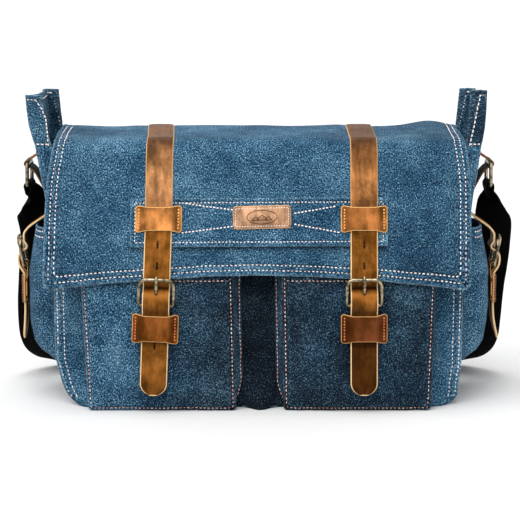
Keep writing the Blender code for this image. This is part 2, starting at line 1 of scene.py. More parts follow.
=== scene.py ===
"""The looks of a denim messenger bag with leather closure straps.

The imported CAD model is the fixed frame. Every soft piece is a sheet of real thickness, made here from a
function that gives its middle surface, and then cut, puckered, stitched and laid where its CAD node is.
Metres, +Z up, front towards -Y.
"""

import json
import math
import random

import bpy
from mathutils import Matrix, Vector, noise


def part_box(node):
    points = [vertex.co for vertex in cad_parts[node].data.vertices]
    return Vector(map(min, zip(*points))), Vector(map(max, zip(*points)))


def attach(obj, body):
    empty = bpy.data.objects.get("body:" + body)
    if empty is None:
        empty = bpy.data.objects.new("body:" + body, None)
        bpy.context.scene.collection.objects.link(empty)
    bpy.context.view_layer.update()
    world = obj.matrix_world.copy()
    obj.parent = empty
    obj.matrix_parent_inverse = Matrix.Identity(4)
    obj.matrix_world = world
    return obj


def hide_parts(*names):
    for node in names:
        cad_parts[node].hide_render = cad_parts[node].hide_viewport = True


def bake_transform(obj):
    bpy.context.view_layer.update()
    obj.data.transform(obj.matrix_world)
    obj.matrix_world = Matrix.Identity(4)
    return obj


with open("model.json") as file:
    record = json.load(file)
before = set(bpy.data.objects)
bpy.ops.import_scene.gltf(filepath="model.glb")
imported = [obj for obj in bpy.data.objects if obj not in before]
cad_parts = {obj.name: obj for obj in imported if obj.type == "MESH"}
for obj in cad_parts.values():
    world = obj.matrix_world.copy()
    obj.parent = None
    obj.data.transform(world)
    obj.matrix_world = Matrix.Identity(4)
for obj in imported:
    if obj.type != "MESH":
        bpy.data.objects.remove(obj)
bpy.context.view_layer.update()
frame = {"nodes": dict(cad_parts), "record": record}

JOINTS = {joint["name"]: joint for joint in frame["record"]["behaviour"]["joints"]}
SIDES = (("left", -1), ("right", 1))


def joint_at(name):
    return Vector(JOINTS[name]["pos_m"])


# ---------------------------------------------------------------- driving sizes
CLOTH = 0.0022  # two layers of denim
GAP = 0.0003  # between pieces that lie on each other
HEM_OUT, HEM_IN = 0.0040, 0.0095  # the two rows of stitching, from an edge
SEAM_ROWS = (0.0025, 0.0085)  # and from the seams of the body
MOUTH_ROWS = (0.0035, 0.0095)  # and from the mouths of the pockets
POCKET_ROW, BAND_ROW, EAR_ROW = 0.0028, 0.0038, 0.0035  # single rows

CORNER_R = 0.026
RIM = 0.262
BACK_RIM = 0.268
EAR_TOP = 0.3195
EAR_LIFT = {  # how far each corner of the ears' tops stands above that, by front or back and by side
    (True, -1): -0.0027, (True, 1): 0.0020, (False, -1): -0.0050, (False, 1): -0.0042}
FRONT_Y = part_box("front_panel")[0][1] + 0.0012
SEAM = 0.0022  # how far a panel's edge turns in towards its seam
STRAIGHT_W = 0.2150  # half a panel's width, on its pattern
GUSSET_HALF = 0.0568  # half the body's depth

HINGE, FOLD = joint_at("flap_hinge"), joint_at("flap_fold")
FLAP_LEAN = math.radians(11.5)
FLAP_DROP = 0.139
FOLD_R = 0.024
DOWN = Vector((0, -math.sin(FLAP_LEAN), -math.cos(FLAP_LEAN)))
OUT = Vector((0, -math.cos(FLAP_LEAN), math.sin(FLAP_LEAN)))

STRAP_W, STRAP_T = 0.0252, 0.0022
STRAP_X = {"left": -0.0990, "right": 0.1045}
KEEPER_W, KEEPER_T = 0.0450, 0.0016
KEEPER_AT = 0.0802  # an upper keeper's middle, below the fold
CLOSURE_AT = 0.138  # the closures' hinge line, below the fold
TAIL_SLIT, TAIL_HOLE = 0.0142, 0.0695  # of a strap's tail, below that line
PIVOT_BAR = (-0.0003, -0.028)  # of a buckle, as (out, up) from the closure's hinge line
TOP_BAR = (0.0036, -0.0018)

BAND_W, BAND_H, BAND_AT = 0.256, 0.0475, 0.0833
LABEL_W, LABEL_H = 0.057, 0.022


# ---------------------------------------------------------------- small maths
def clamp(value, low=0.0, high=1.0):
    return max(low, min(high, value))


def ease(a, b, value):
    """0 before a, 1 after b, smooth between."""
    t = clamp((value - a) / (b - a))
    return t * t * (3 - 2 * t)


def bell(distance, width):
    return math.exp(-((distance / width) ** 2))


def table(points, at):
    """A line through (at, value) pairs."""
    for (a, va), (b, vb) in zip(points, points[1:]):
        if at <= b:
            return va + (vb - va) * clamp((at - a) / (b - a))
    return points[-1][1]


def rough(x, y, z=0.0, scale=1.0):
    return noise.noise(Vector((x, y, z)) * scale)


def crumple(x, y, z, size=1.0):
    """Slack in cloth: long soft swells with shorter ones on them."""
    swells = 0.0017 * rough(x, y, z, 13) + 0.0008 * rough(x + 3, y, z, 34)
    return size * (swells + 0.0003 * rough(x, y + 5, z, 90))


def hem(distance, along, rows=(HEM_OUT, HEM_IN), seed=0.0, pucker=1.0):
    """The height of stitched cloth, by distance from its edge: a dip at each row, and puckers between."""
    height = -0.00120 * sum(bell(distance - row, 0.0011) for row in rows)
    near = pucker * bell(distance - rows[0], 0.007)
    height += 0.0013 * near * rough(along, seed, 0.3, 130) + 0.0008 * near * rough(along, seed, distance, 300)
    return height + 0.0005 * bell(distance - 0.0015, 0.0015)


def hem_shade(distance, rows=(HEM_OUT, HEM_IN)):
    """Painted shade in a seam's dips; its ridges and its very edge go pale: wear, with a painted highlight on
    the ridges.
    """
    dips = max(bell(distance - row, 0.0010) for row in rows)
    between = sum(rows) / 2 if len(rows) > 1 else rows[0] + 0.003
    return 0.70 * dips - 0.22 * max(bell(distance - between, 0.0016), bell(distance - 0.0008, 0.0012))


def stations(length, step=0.005, fine=0.0010, reach=0.0125):
    """Places from 0 to length, close together within reach of both ends."""
    if length <= 2 * reach:
        count = max(2, round(length / fine))
        return [length * i / count for i in range(count + 1)]
    ends = [fine * i for i in range(int(reach / fine) + 1)]
    count = max(1, round((length - 2 * ends[-1]) / step))
    middle = [ends[-1] + (length - 2 * ends[-1]) * i / count for i in range(1, count)]
    return ends + middle + [length - e for e in reversed(ends)]


def centred(length, *spacing):
    """Stations over that length, with 0 in its middle."""
    return [x - length / 2 for x in stations(length, *spacing)]


def smooth_route(points, count):
    """count evenly spaced points of a Catmull-Rom curve through the given ones."""
    points = [Vector(p) for p in points]
    padded = [points[0] * 2 - points[1], *points, points[-1] * 2 - points[-2]]
    fine = []
    for a, b, c, d in zip(padded, padded[1:], padded[2:], padded[3:]):
        for step in range(16):
            t = step / 16
            fine.append(0.5 * (2 * b + (c - a) * t + (2 * a - 5 * b + 4 * c - d) * t**2
                               + (3 * b - a - 3 * c + d) * t**3))
    fine.append(points[-1])
    return even(fine, count)


def even(points, count):
    """The same line, as count evenly spaced points. Its length is measured on their first three numbers."""
    marks = [0.0]
    for a, b in zip(points, points[1:]):
        marks.append(marks[-1] + (Vector(b[:3]) - Vector(a[:3])).length)
    result, k = [], 0
    for i in range(count):
        at = marks[-1] * i / (count - 1)
        while k < len(marks) - 2 and marks[k + 1] < at:
            k += 1
        span = marks[k + 1] - marks[k]
        share = clamp((at - marks[k]) / span) if span else 0
        result.append(Vector(points[k]).lerp(Vector(points[k + 1]), share))
    return result


# ---------------------------------------------------------------- materials
class Shader:
    """A short way to write a material's nodes."""

    def __init__(self, name):
        self.material = bpy.data.materials.new(name)
        self.material.use_nodes = True
        self.tree = self.material.node_tree
        self.bsdf = self.tree.nodes["Principled BSDF"]

    def node(self, kind, inputs=(), **settings):
        made = self.tree.nodes.new(kind)
        for key, value in settings.items():
            setattr(made, key, value)
        for key, value in dict(inputs).items():
            self.put(made.inputs[key], value)
        return made

    def put(self, socket, value):
        if isinstance(value, bpy.types.NodeSocket):
            self.tree.links.new(value, socket)
        else:
            socket.default_value = value

    def place(self, scale=(1, 1, 1), name="cloth"):
        """Where on its pattern a point lies, in metres, times scale."""
        source = self.node("ShaderNodeAttribute", attribute_name=name).outputs["Vector"]
        return self.node("ShaderNodeMapping", {"Vector": source, "Scale": scale}).outputs["Vector"]

    def attribute(self, name):
        return self.node("ShaderNodeAttribute", attribute_name=name).outputs["Fac"]

    def noise(self, scale=(1, 1, 1), detail=2.0, roughness=0.5, where=None, size=1.0):
        vector = where or self.place(scale)
        inputs = {"Vector": vector, "Scale": size, "Detail": detail, "Roughness": roughness}
        return self.node("ShaderNodeTexNoise", inputs).outputs["Fac"]

    def cells(self, scale, feature="F1"):
        made = self.node("ShaderNodeTexVoronoi", {"Vector": self.place(scale), "Scale": 1.0}, feature=feature)
        return made.outputs["Distance"]

    def ramp(self, value, *stops):
        made = self.node("ShaderNodeValToRGB", {"Fac": value})
        band = made.color_ramp
        while len(band.elements) < len(stops):
            band.elements.new(0.5)
        for element, (at, colour) in zip(band.elements, stops):
            element.position = at
            element.color = (*colour, 1) if isinstance(colour, tuple) else (colour, colour, colour, 1)
        return made.outputs["Color"]

    def math(self, operation, a, b=0.0, c=0.0):
        made = self.node("ShaderNodeMath", operation=operation)
        for socket, value in zip(made.inputs, (a, b, c)):
            self.put(socket, value)
        return made.outputs[0]

    def times(self, a, b):
        return self.math("MULTIPLY", a, b)

    def plus(self, a, b):
        return self.math("ADD", a, b)

    def around_zero(self, value):
        """A noise runs from 0 to 1, with its middle at 0.5."""
        return self.math("SUBTRACT", value, 0.5)

    def wave(self, scale, distortion=0.0, direction="DIAGONAL"):
        """Fine ribs, such as a twill's or a thread's."""
        inputs = {"Vector": self.place(), "Scale": scale}
        if distortion:
            inputs["Distortion"] = distortion
        return self.node("ShaderNodeTexWave", inputs, bands_direction=direction).outputs["Fac"]

    def mix(self, a, b, share, blend="MIX"):
        made = self.node("ShaderNodeMix", data_type="RGBA", blend_type=blend)
        for index, value in ((0, share), (6, a), (7, b)):
            value = (*value, 1) if isinstance(value, tuple) and len(value) == 3 else value
            self.put(made.inputs[index], value)
        return made.outputs[2]

    def bump(self, height, strength, distance, under=None):
        inputs = {"Height": height, "Strength": strength, "Distance": distance}
        made = self.node("ShaderNodeBump", inputs)
        if under:
            self.put(made.inputs["Normal"], under)
        return made.outputs["Normal"]

    def finish(self, colour, roughness, normal=None, **constants):
        self.put(self.bsdf.inputs["Base Color"], colour)
        self.put(self.bsdf.inputs["Roughness"], roughness)
        if normal:
            self.put(self.bsdf.inputs["Normal"], normal)
        for name, value in constants.items():
            self.bsdf.inputs[name.replace("_", " ").title().replace("Ior", "IOR")].default_value = value
        return self.material


def denim(name, tint=1.0, wear=1.0):
    """Heathered twill: pale and dark yarns, washed patches, and edges rubbed pale. shade above 0 paints shade
    on it; below 0 it pales it: wear and painted highlight.
    """
    s = Shader(name)
    warp = s.noise((1050, 520, 1), detail=2, roughness=0.6)
    weft = s.noise((520, 1050, 1), detail=2, roughness=0.6)
    flecks = s.noise((1000, 700, 1), detail=3, roughness=0.75)
    yarns = s.plus(s.times(warp, 0.34), s.times(weft, 0.26))
    yarns = s.plus(yarns, s.times(flecks, 0.40))
    wash = s.noise((15, 15, 1), detail=5, roughness=0.62)
    patch = s.noise((90, 90, 1), detail=3, roughness=0.6)
    heather = s.plus(yarns, s.times(s.around_zero(wash), 0.15))
    heather = s.plus(heather, s.times(s.around_zero(patch), 0.07))
    dyes = ((0.0004, 0.0045, 0.014), (0.0070, 0.038, 0.086), (0.036, 0.128, 0.218), (0.33, 0.53, 0.66))
    scale = [tuple(c * tint for c in colour) for colour in dyes]
    colour = s.ramp(heather, (0.430, scale[0]), (0.480, scale[1]), (0.535, scale[2]), (0.610, scale[3]))
    edge = s.times(s.attribute("rim"), s.ramp(flecks, (0.38, 0.15), (0.60, 1.0)))
    colour = s.mix(colour, (0.24, 0.38, 0.47), s.times(edge, 0.8 * wear))
    # Below 0, shade pales the cloth: wear on seam ridges, and painted highlight.
    wear_and_highlight = s.times(s.attribute("shade"), -1.3)
    wear_and_highlight = s.times(wear_and_highlight, s.ramp(flecks, (0.38, 0.3), (0.60, 1.0)))
    colour = s.mix(colour, (0.20, 0.34, 0.44), wear_and_highlight)
    # Above 0, shade darkens it towards dark blue, less on pale flecks: painted shade.
    kept = s.ramp(heather, (0.485, 1.0), (0.60, 0.68))
    colour = s.mix(colour, (0.0010, 0.0028, 0.0075), s.times(s.attribute("shade"), kept))
    normal = s.bump(s.wave(160.0, 1.2), 0.30, 0.00030)
    normal = s.bump(yarns, 0.60, 0.0008, normal)
    normal = s.bump(s.noise((75, 75, 1), detail=4), 0.45, 0.0016, normal)
    rough_value = s.ramp(flecks, (0.3, 0.78), (0.7, 0.95))
    return s.finish(colour, rough_value, normal, sheen_weight=0.02, sheen_roughness=0.6,
                    specular_ior_level=0.09)


def tones(mid, dark=0.34, light=1.95):
    return tuple(c * dark for c in mid), mid, tuple(min(c * light + 0.01, 1) for c in mid)


def leather(name, mid, edge=(0.62, 0.36, 0.15), shine=0.42):
    """Waxed hide: cloudy where it has been bent, with pulled-up pale marks, fine grain and raw pale edges.
    shade above 0 darkens it: painted shade, and the tails darker towards their tips; below 0 it is a painted
    highlight."""
    s = Shader(name)
    dark, mid, light = tones(mid)
    cloud = s.noise((48, 34, 1), detail=5, roughness=0.62)
    streak = s.noise((230, 40, 1), detail=3, roughness=0.6)
    pores = s.noise((900, 900, 1), detail=2, roughness=0.6)
    tone = s.plus(s.times(cloud, 0.62), s.times(streak, 0.25))
    tone = s.plus(tone, s.times(pores, 0.13))
    colour = s.ramp(tone, (0.40, dark), (0.50, mid), (0.61, light))
    scratch = s.ramp(s.noise(detail=1, where=s.place((95, 700, 3))), (0.68, 0.0), (0.74, 1.0))
    patch = s.ramp(s.noise((30, 30, 1), detail=1), (0.50, 0.0), (0.60, 1.0))
    marks = s.times(scratch, patch)
    colour = s.mix(colour, light, s.times(marks, 0.45))
    grime = s.ramp(s.noise((18, 24, 1), detail=3), (0.38, 0.45), (0.55, 0.0))
    colour = s.mix(colour, dark, grime)
    # Below 0, shade mixes towards the light tone: a painted highlight.
    colour = s.mix(colour, light, s.times(s.attribute("shade"), -1.0))
    # Above 0, shade mixes towards near black: painted shade, and the tails' darker tips.
    colour = s.mix(colour, (0.018, 0.0035, 0.0003), s.times(s.attribute("shade"), 0.92))
    rim = s.ramp(s.plus(s.attribute("rim"), s.times(s.around_zero(pores), 0.5)), (0.42, 0.0), (0.62, 1.0))
    colour = s.mix(colour, edge, rim)
    normal = s.bump(s.cells((1500, 1500, 1)), 0.25, 0.00035)
    normal = s.bump(s.noise((120, 60, 1), detail=4), 0.40, 0.0010, normal)
    normal = s.bump(marks, -0.25, 0.0003, normal)
    polish = (0.35, shine), (0.65, shine + 0.16), (1.0, 0.85)
    rough_value = s.ramp(s.plus(cloud, s.times(rim, 0.4)), *polish)
    return s.finish(colour, rough_value, normal, specular_ior_level=0.12, specular_tint=(1.0, 0.62, 0.30, 1))


def thread(name, colour, light):
    s = Shader(name)
    strand = s.wave(420.0)
    tint = s.noise((130, 130, 1), detail=2)
    base = s.mix(colour, light, s.ramp(tint, (0.42, 0.0), (0.58, 1.0)))
    return s.finish(base, 0.75, s.bump(strand, 0.5, 0.0002), sheen_weight=0.1)


def metal(name, dark, light, roughness):
    """Antique brass: bright where it is rubbed, brown and dull where it isn't."""
    s = Shader(name)
    where = s.node("ShaderNodeTexCoord").outputs["Object"]

    def scaled(size):
        return s.node("ShaderNodeMapping", {"Vector": where, "Scale": (size,) * 3}).outputs[0]

    patina = s.noise(where=scaled(160), detail=4, roughness=0.6)
    fine = s.noise(where=scaled(900), detail=2)
    colour = s.ramp(patina, (0.36, dark), (0.60, light))
    rough_value = s.ramp(patina, (0.35, roughness + 0.16), (0.65, roughness))
    normal = s.bump(fine, 0.12, 0.0003)
    s.bsdf.inputs["Metallic"].default_value = 1.0
    return s.finish(colour, rough_value, normal)


def webbing(name, dark, light):
    """Ribbed polypropylene tape, its ribs running along it."""
    s = Shader(name)
    ribs = s.wave(260.0, 0.4, "Y")
    picks = s.wave(520.0, 0.6, "X")
    weave = s.times(ribs, s.plus(s.times(picks, 0.5), 0.5))
    colour = s.mix(dark, light, weave)
    normal = s.bump(weave, 0.8, 0.0006)
    return s.finish(colour, 0.85, normal, specular_ior_level=0.03)


def cotton(name, dark, light):
    """Plain-woven lining."""
    s = Shader(name)
    warp = s.noise((2200, 260, 1), detail=2, roughness=0.6)
    weft = s.noise((260, 2200, 1), detail=2, roughness=0.6)
    weave = s.times(s.plus(warp, weft), 0.5)
    cloud = s.noise((40, 40, 1), detail=3)
    tone = s.plus(s.times(weave, 0.7), s.times(cloud, 0.3))
    colour = s.mix(dark, light, s.ramp(tone, (0.38, 0.0), (0.62, 1.0)))
    return s.finish(colour, 0.9, s.bump(weave, 0.4, 0.0004), sheen_weight=0.1)


DENIM = denim("denim")
# A darker copy of the denim: painted shade for the base under the bag.
DENIM_DARK = denim("denim_shaded", 0.62, 0.8)
TAN = leather("tan_leather", (0.400, 0.180, 0.070), (0.66, 0.40, 0.19))
BROWN = leather("brown_leather", (0.190, 0.066, 0.008), (0.80, 0.55, 0.29), 0.32)
CHESTNUT = leather("chestnut_leather", (0.310, 0.125, 0.038))
UMBER = leather("umber_leather", (0.075, 0.018, 0.002), (0.46, 0.25, 0.10), 0.30)
HONEY = leather("honey_leather", (0.380, 0.145, 0.038), (0.70, 0.38, 0.13))
RUSSET = leather("russet_leather", (0.270, 0.095, 0.022), (0.66, 0.37, 0.14))
BLACK_LEATHER = leather("black_leather", (0.006, 0.003, 0.002), (0.16, 0.085, 0.038), 0.55)
MAHOGANY = leather("mahogany_leather", (0.128, 0.036, 0.004), (0.54, 0.29, 0.11), 0.30)
LABEL_LEATHER = leather("label_leather", (0.400, 0.225, 0.130), (0.56, 0.36, 0.22), 0.55)
PEACH = thread("peach_thread", (0.90, 0.72, 0.66), (1.0, 0.98, 0.97))
ORANGE = thread("orange_thread", (0.66, 0.27, 0.17), (0.95, 0.82, 0.76))
AMBER = thread("amber_thread", (0.85, 0.36, 0.05), (0.98, 0.66, 0.26))
RED = thread("rust_thread", (0.62, 0.10, 0.02), (0.85, 0.30, 0.08))
BLACK_THREAD = thread("grey_thread", (0.03, 0.03, 0.03), (0.10, 0.10, 0.10))
BRASS = metal("antique_brass", (0.075, 0.055, 0.030), (0.42, 0.35, 0.23), 0.22)
DARK_BRASS = metal("dark_brass", (0.10, 0.075, 0.04), (0.40, 0.33, 0.21), 0.34)
WEBBING = webbing("black_webbing", (0.0010, 0.0008, 0.0008), (0.0075, 0.0065, 0.0068))
COTTON = cotton("lining_cotton", (0.050, 0.045, 0.042), (0.110, 0.100, 0.092))
PADDING = cotton("padded_cotton", (0.040, 0.038, 0.040), (0.085, 0.082, 0.085))
TAPE = cotton("zip_tape", (0.010, 0.014, 0.020), (0.030, 0.040, 0.055))


# ---------------------------------------------------------------- mesh building
def mesh_piece(name, verts, faces, material, rim=None, cloth=None, smooth=True, shade=None):
    mesh = bpy.data.meshes.new(name)
    mesh.from_pydata([tuple(v) for v in verts], [], faces)
    for label, values in (("rim", rim), ("shade", shade)):
        if values is not None:
            mesh.attributes.new(label, "FLOAT", "POINT").data.foreach_set("value", values)
    if cloth is not None:
        flat = [number for vector in cloth for number in vector]
        mesh.attributes.new("cloth", "FLOAT_VECTOR", "POINT").data.foreach_set("vector", flat)
    mesh.polygons.foreach_set("use_smooth", [smooth] * len(mesh.polygons))
    mesh.materials.append(material)
    mesh.update()
    piece = bpy.data.objects.new(name, mesh)
    bpy.context.scene.collection.objects.link(piece)
    return piece


def thicken(name, verts, faces, thick, material, cloth, wear=0.0, shade=None, cut=()):
    """A closed sheet of that thickness round a middle surface, with rolled edges. rim is 1 on them, but 0 at
    the vertices in cut,
    whose edge vertices get shade 0.8: painted shade in the hole."""
    count = len(verts)
    normals = [Vector() for _ in verts]
    once = {}
    for face in faces:
        corners = [verts[i] for i in face]
        normal = (corners[2] - corners[0]).cross(corners[-1] - corners[1])
        for i in face:
            normals[i] += normal
        for a, b in zip(face, face[1:] + face[:1]):
            if (b, a) in once:
                del once[(b, a)]
            else:
                once[(a, b)] = normal
    for normal in normals:
        normal.normalize()
    outward = {}
    for (a, b), normal in once.items():
        push = (verts[b] - verts[a]).normalized().cross(normal.normalized())
        for i in (a, b):
            outward[i] = outward.get(i, Vector()) + push
    half = thick / 2
    points = [v + n * half for v, n in zip(verts, normals)] + [v - n * half for v, n in zip(verts, normals)]
    rim = [0.0] * (2 * count)
    place = list(cloth) * 2
    shade = list(shade or [0.0] * count) * 2
    edge = {}
    for i, push in outward.items():
        push.normalize()
        for share, lift in ((0.75, 0.66), (1.0, 0.0), (0.75, -0.66)):
            edge.setdefault(i, []).append(len(points))
            points.append(verts[i] + push * half * share + normals[i] * half * lift)
            rim.append(0.0 if i in cut else 1.0)
            place.append(cloth[i])
            # painted shade on a hole's edges
            shade.append(0.8 if i in cut else shade[i])
        rim[i] = rim[i + count] = 0.0 if i in cut else wear
    made = list(faces) + [tuple(i + count for i in reversed(face)) for face in faces]
    for a, b in once:
        left = [a, *edge[a], a + count]
        right = [b, *edge[b], b + count]
        for k in range(4):
            made.append((left[k], left[k + 1], right[k + 1], right[k]))
    return mesh_piece(name, points, made, material, rim, place, shade=shade)


class Cloth:
    """A sheet whose middle surface is point(x, y), for x and y in metres on its pattern."""

    def __init__(self, point, thick=CLOTH, flip=False):
        self.point, self.thick, self.sign = point, thick, -1 if flip else 1

    def normal(self, x, y, step=0.0008):
        across = self.point(x + step, y) - self.point(x - step, y)
        up = self.point(x, y + step) - self.point(x, y - step)
        return across.cross(up).normalized() * self.sign

    def outer(self, x, y, lift=0.0):
        return self.point(x, y) + self.normal(x, y) * (self.thick / 2 + lift)

    def inner(self, x, y, lift=0.0):
        return self.point(x, y) - self.normal(x, y) * (self.thick / 2 + lift)

    def sheet(self, name, xs, ys, material, keep=None, wear=0.35, seed=0.0, offset=(0, 0), shade=None,
              cut=None):
        """keep(i, j) says which cells of the grid are cloth, and cut(x, y) which places are a hole's edge."""
        index, verts, cloth, faces, shades, cuts = {}, [], [], [], [], set()
        for j in range(len(ys) - 1):
            for i in range(len(xs) - 1):
                if keep and not keep(i, j):
                    continue
                corners = [(i, j), (i + 1, j), (i + 1, j + 1), (i, j + 1)]
                for a, b in corners:
                    if (a, b) not in index:
                        index[(a, b)] = len(verts)
                        verts.append(self.point(xs[a], ys[b]))
                        cloth.append((xs[a] + offset[0], ys[b] + offset[1], seed))
                        shades.append(shade(xs[a], ys[b]) if shade else 0.0)
                        if cut and cut(xs[a], ys[b]):
                            cuts.add(len(verts) - 1)
                face = tuple(index[c] for c in corners)
                faces.append(face if self.sign > 0 else face[::-1])
        return thicken(name, verts, faces, self.thick, material, cloth, wear, shades, cuts)


class Stitching:
    """Threads sewn on sheets, gathered into one mesh for each body."""

    SIDES = 5
    RINGS = ((0.0, 0.35, -0.5), (0.22, 0.9, 0.15), (0.5, 1.0, 0.35), (0.78, 0.9, 0.15), (1.0, 0.35, -0.5))

    def __init__(self, name, material):
        self.name, self.material = name, material
        self.verts, self.faces, self.cloth = [], [], []
        self.random = random.Random(name)

    def bead(self, a, b, normal, radius):
        """One stitch from a to b: a low ridge whose ends dive into the cloth."""
        along = (b - a).normalized()
        side = along.cross(normal).normalized()
        base = len(self.verts)
        length = (b - a).length
        for share, size, lift in self.RINGS:
            middle = a + along * length * share + normal * radius * lift
            for turn in range(self.SIDES):
                angle = math.radians(360 / self.SIDES * turn + 90)
                ring = side * math.cos(angle) + normal * 0.8 * math.sin(angle)
                self.verts.append(middle + ring * radius * size)
                self.cloth.append((length * share + 0.37 * base, radius * math.cos(angle), 0))
        sides, spans = self.SIDES, len(self.RINGS) - 1
        for ring in range(spans):
            low, high = base + ring * sides, base + (ring + 1) * sides
            for k in range(sides):
                n = (k + 1) % sides
                self.faces.append((low + k, low + n, high + n, high + k))
        self.faces.append(tuple(base + k for k in reversed(range(sides))))
        self.faces.append(tuple(base + spans * sides + k for k in range(sides)))

    def row(self, place, path, pitch=0.0042, fill=0.72, radius=0.00072, lift=0.0):
        """Stitches along a path of (x, y) on a sheet. place(x, y, lift) is a point of its surface."""
        line = even([Vector((x, y, 0)) for x, y in path], max(2, 40 * len(path)))
        length = sum((b - a).length for a, b in zip(line, line[1:]))
        count = max(1, round(length / pitch))
        line = even(line, count * 2 + 1)
        for i in range(count):
            a, m, b = line[2 * i:2 * i + 3]
            shift = self.random.uniform(-0.06, 0.06)
            a, b = m.lerp(a, fill + shift), m.lerp(b, fill - shift)
            pa, pb = place(a.x, a.y, lift), place(b.x, b.y, lift)
            pm = place(m.x, m.y, lift)
            up = place(m.x, m.y, lift + 0.001) - pm
            self.bead(pa, pb, up.normalized(), radius)

    def finish(self):
        return mesh_piece(self.name, self.verts, self.faces, self.material, None, self.cloth)


def tube(name, path, radius, material, sides=14, closed=True, flat=1.0):
    """A round wire along a path, or a closed ring. radius may be a function of the share of its length."""
    count = len(path)
    verts, faces, cloth = [], [], []
    side = None
    for i, at in enumerate(path):
        before = path[i - 1 if closed else max(i - 1, 0)]
        after = path[(i + 1) % count if closed else min(i + 1, count - 1)]
        along = (after - before).normalized()
        side = along.orthogonal() if side is None else side
        side = (side - along * side.dot(along)).normalized()
        other = along.cross(side)
        r = radius(i / (count - 1)) if callable(radius) else radius
        for k in range(sides):
            angle = 2 * math.pi * k / sides
            verts.append(at + side * r * math.cos(angle) + other * r * flat * math.sin(angle))
            cloth.append((i * 0.001, k * 0.001, 0))
    spans = count if closed else count - 1
    for i in range(spans):
        a, b = i * sides, (i + 1) % count * sides
        for k in range(sides):
            n = (k + 1) % sides
            faces.append((a + k, a + n, b + n, b + k))
    if not closed:
        faces.append(tuple(reversed(range(sides))))
        faces.append(tuple(range((count - 1) * sides, count * sides)))
    return mesh_piece(name, verts, faces, material, None, cloth)


def corner_inset(x, half_w, radius):
    """How much shorter a rounded rectangle is at x, near its end, than in its middle."""
    into = abs(x) - (half_w - radius)
    return radius - math.sqrt(max(radius**2 - into**2, 0)) if into > 0 else 0.0


def place_piece(piece, body, nodes=()):
    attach(piece, body)
    if nodes:
        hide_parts(*nodes)
    return piece


# ---------------------------------------------------------------- the body's panels
FLARE = {  # half the body's width by height, at its front edges and at its back ones
    (True, -1): [(0, 0.1996), (0.017, 0.1998), (0.028, 0.2022), (0.048, 0.2072), (0.13, 0.2080),
                 (0.18, 0.2115), (0.217, 0.2155), (0.240, 0.2200), (0.2656, 0.2243), (0.2759, 0.2274),
                 (0.2887, 0.2306), (0.3067, 0.2325), (EAR_TOP, 0.2334)],
    (True, 1): [(0, 0.2100), (0.009, 0.2078), (0.022, 0.2030), (0.040, 0.2062), (0.13, 0.2070),
                (0.18, 0.2115), (0.217, 0.2155), (0.240, 0.2195), (0.2656, 0.2226), (0.2715, 0.2240),
                (0.285, 0.2262), (0.300, 0.2272), (EAR_TOP, 0.2278)],
}
for side in (-1, 1):
    FLARE[(False, side)] = [
        FLARE[(True, side)][0], (0.05, 0.2100), (0.10, 0.2140), (0.200, STRAIGHT_W), (0.217, 0.2172),
        (0.240, 0.2203), (0.270, 0.2240), (0.300, 0.2268), (EAR_TOP, 0.2285)]
EAR_SHARE = 0.933  # the ears begin this far out along the rim
EAR_EDGE = {  # their inner edges
    (True, -1): [(RIM, 0.2090), (0.2950, 0.2110), (0.3060, 0.2150), (EAR_TOP, 0.2245)],
    (True, 1): [(RIM, 0.2083), (0.2870, 0.2140), (EAR_TOP, 0.2215)],
    (False, -1): [(BACK_RIM, 0.2096), (0.2800, 0.2105), (EAR_TOP, 0.2190)],
    (False, 1): [(BACK_RIM, 0.2096), (0.2820, 0.2130), (EAR_TOP, 0.2200)],
}
BASE_HALF = {side: FLARE[(True, side)][0][1] - CORNER_R for side in (-1, 1)}


def half_width(z, side=1, front=False):
    """Half the body's width at that height."""
    up = CORNER_R - z
    return table(FLARE[(front, side)], z) - (CORNER_R - math.sqrt(CORNER_R**2 - up**2) if up > 0 else 0.0)


def belly(across, z):
    """The front panel sags out at its foot, most of all between the pockets."""
    between = bell(across - 0.001, 0.0105) * (0.0080 * ease(0.085, 0.012, z) + 0.0070 * ease(0.032, 0.004, z))
    return between + 0.0110 * ease(0.197, 0.172, abs(across)) * ease(0.050, 0.003, z)


def room_half(z):
    """Half the width inside the body at that height, on its narrower side."""
    return min(half_width(z, side, True) for side in (-1, 1))


def panel_point(front):
    """The front or back panel's middle surface, for x as a share of STRAIGHT_W and z up."""
    rim = RIM if front else BACK_RIM

    def point(x, z):
        share, side = x / STRAIGHT_W, 1 if x > 0 else -1
        half = half_width(z, side, front)
        across, inner = share * half, table(EAR_EDGE[(front, side)], z)
        if z > rim and abs(share) >= EAR_SHARE:
            across = side * (inner + (half - inner) * (abs(share) - EAR_SHARE) / (1 - EAR_SHARE))
        from_side = half - abs(across)
        from_floor = z if abs(across) < BASE_HALF[side] else 9.0
        turn = SEAM * (1 - ease(0.0, 0.005, min(from_side, from_floor)))
        out = min(crumple(across, z, 7.0 if front else 2.0, 0.7), 0.0004)
        if z <= rim:
            out += hem(rim - z, across) + hem(from_side, z, SEAM_ROWS)
            if front:
                out += belly(across, z)
        else:
            out += hem(abs(across) - inner, z, (0.0025,)) + hem(EAR_TOP - z, across, (EAR_ROW,))
            out += 0.0010 * rough(across, z, side, 30) * ease(rim, EAR_TOP, z)
        z += EAR_LIFT[(front, side)] * ease(rim, EAR_TOP, z)
        return Vector((across, (FRONT_Y + turn - out) * (1 if front else -1), max(z, 0.0006)))

    return Cloth(point, flip=not front)


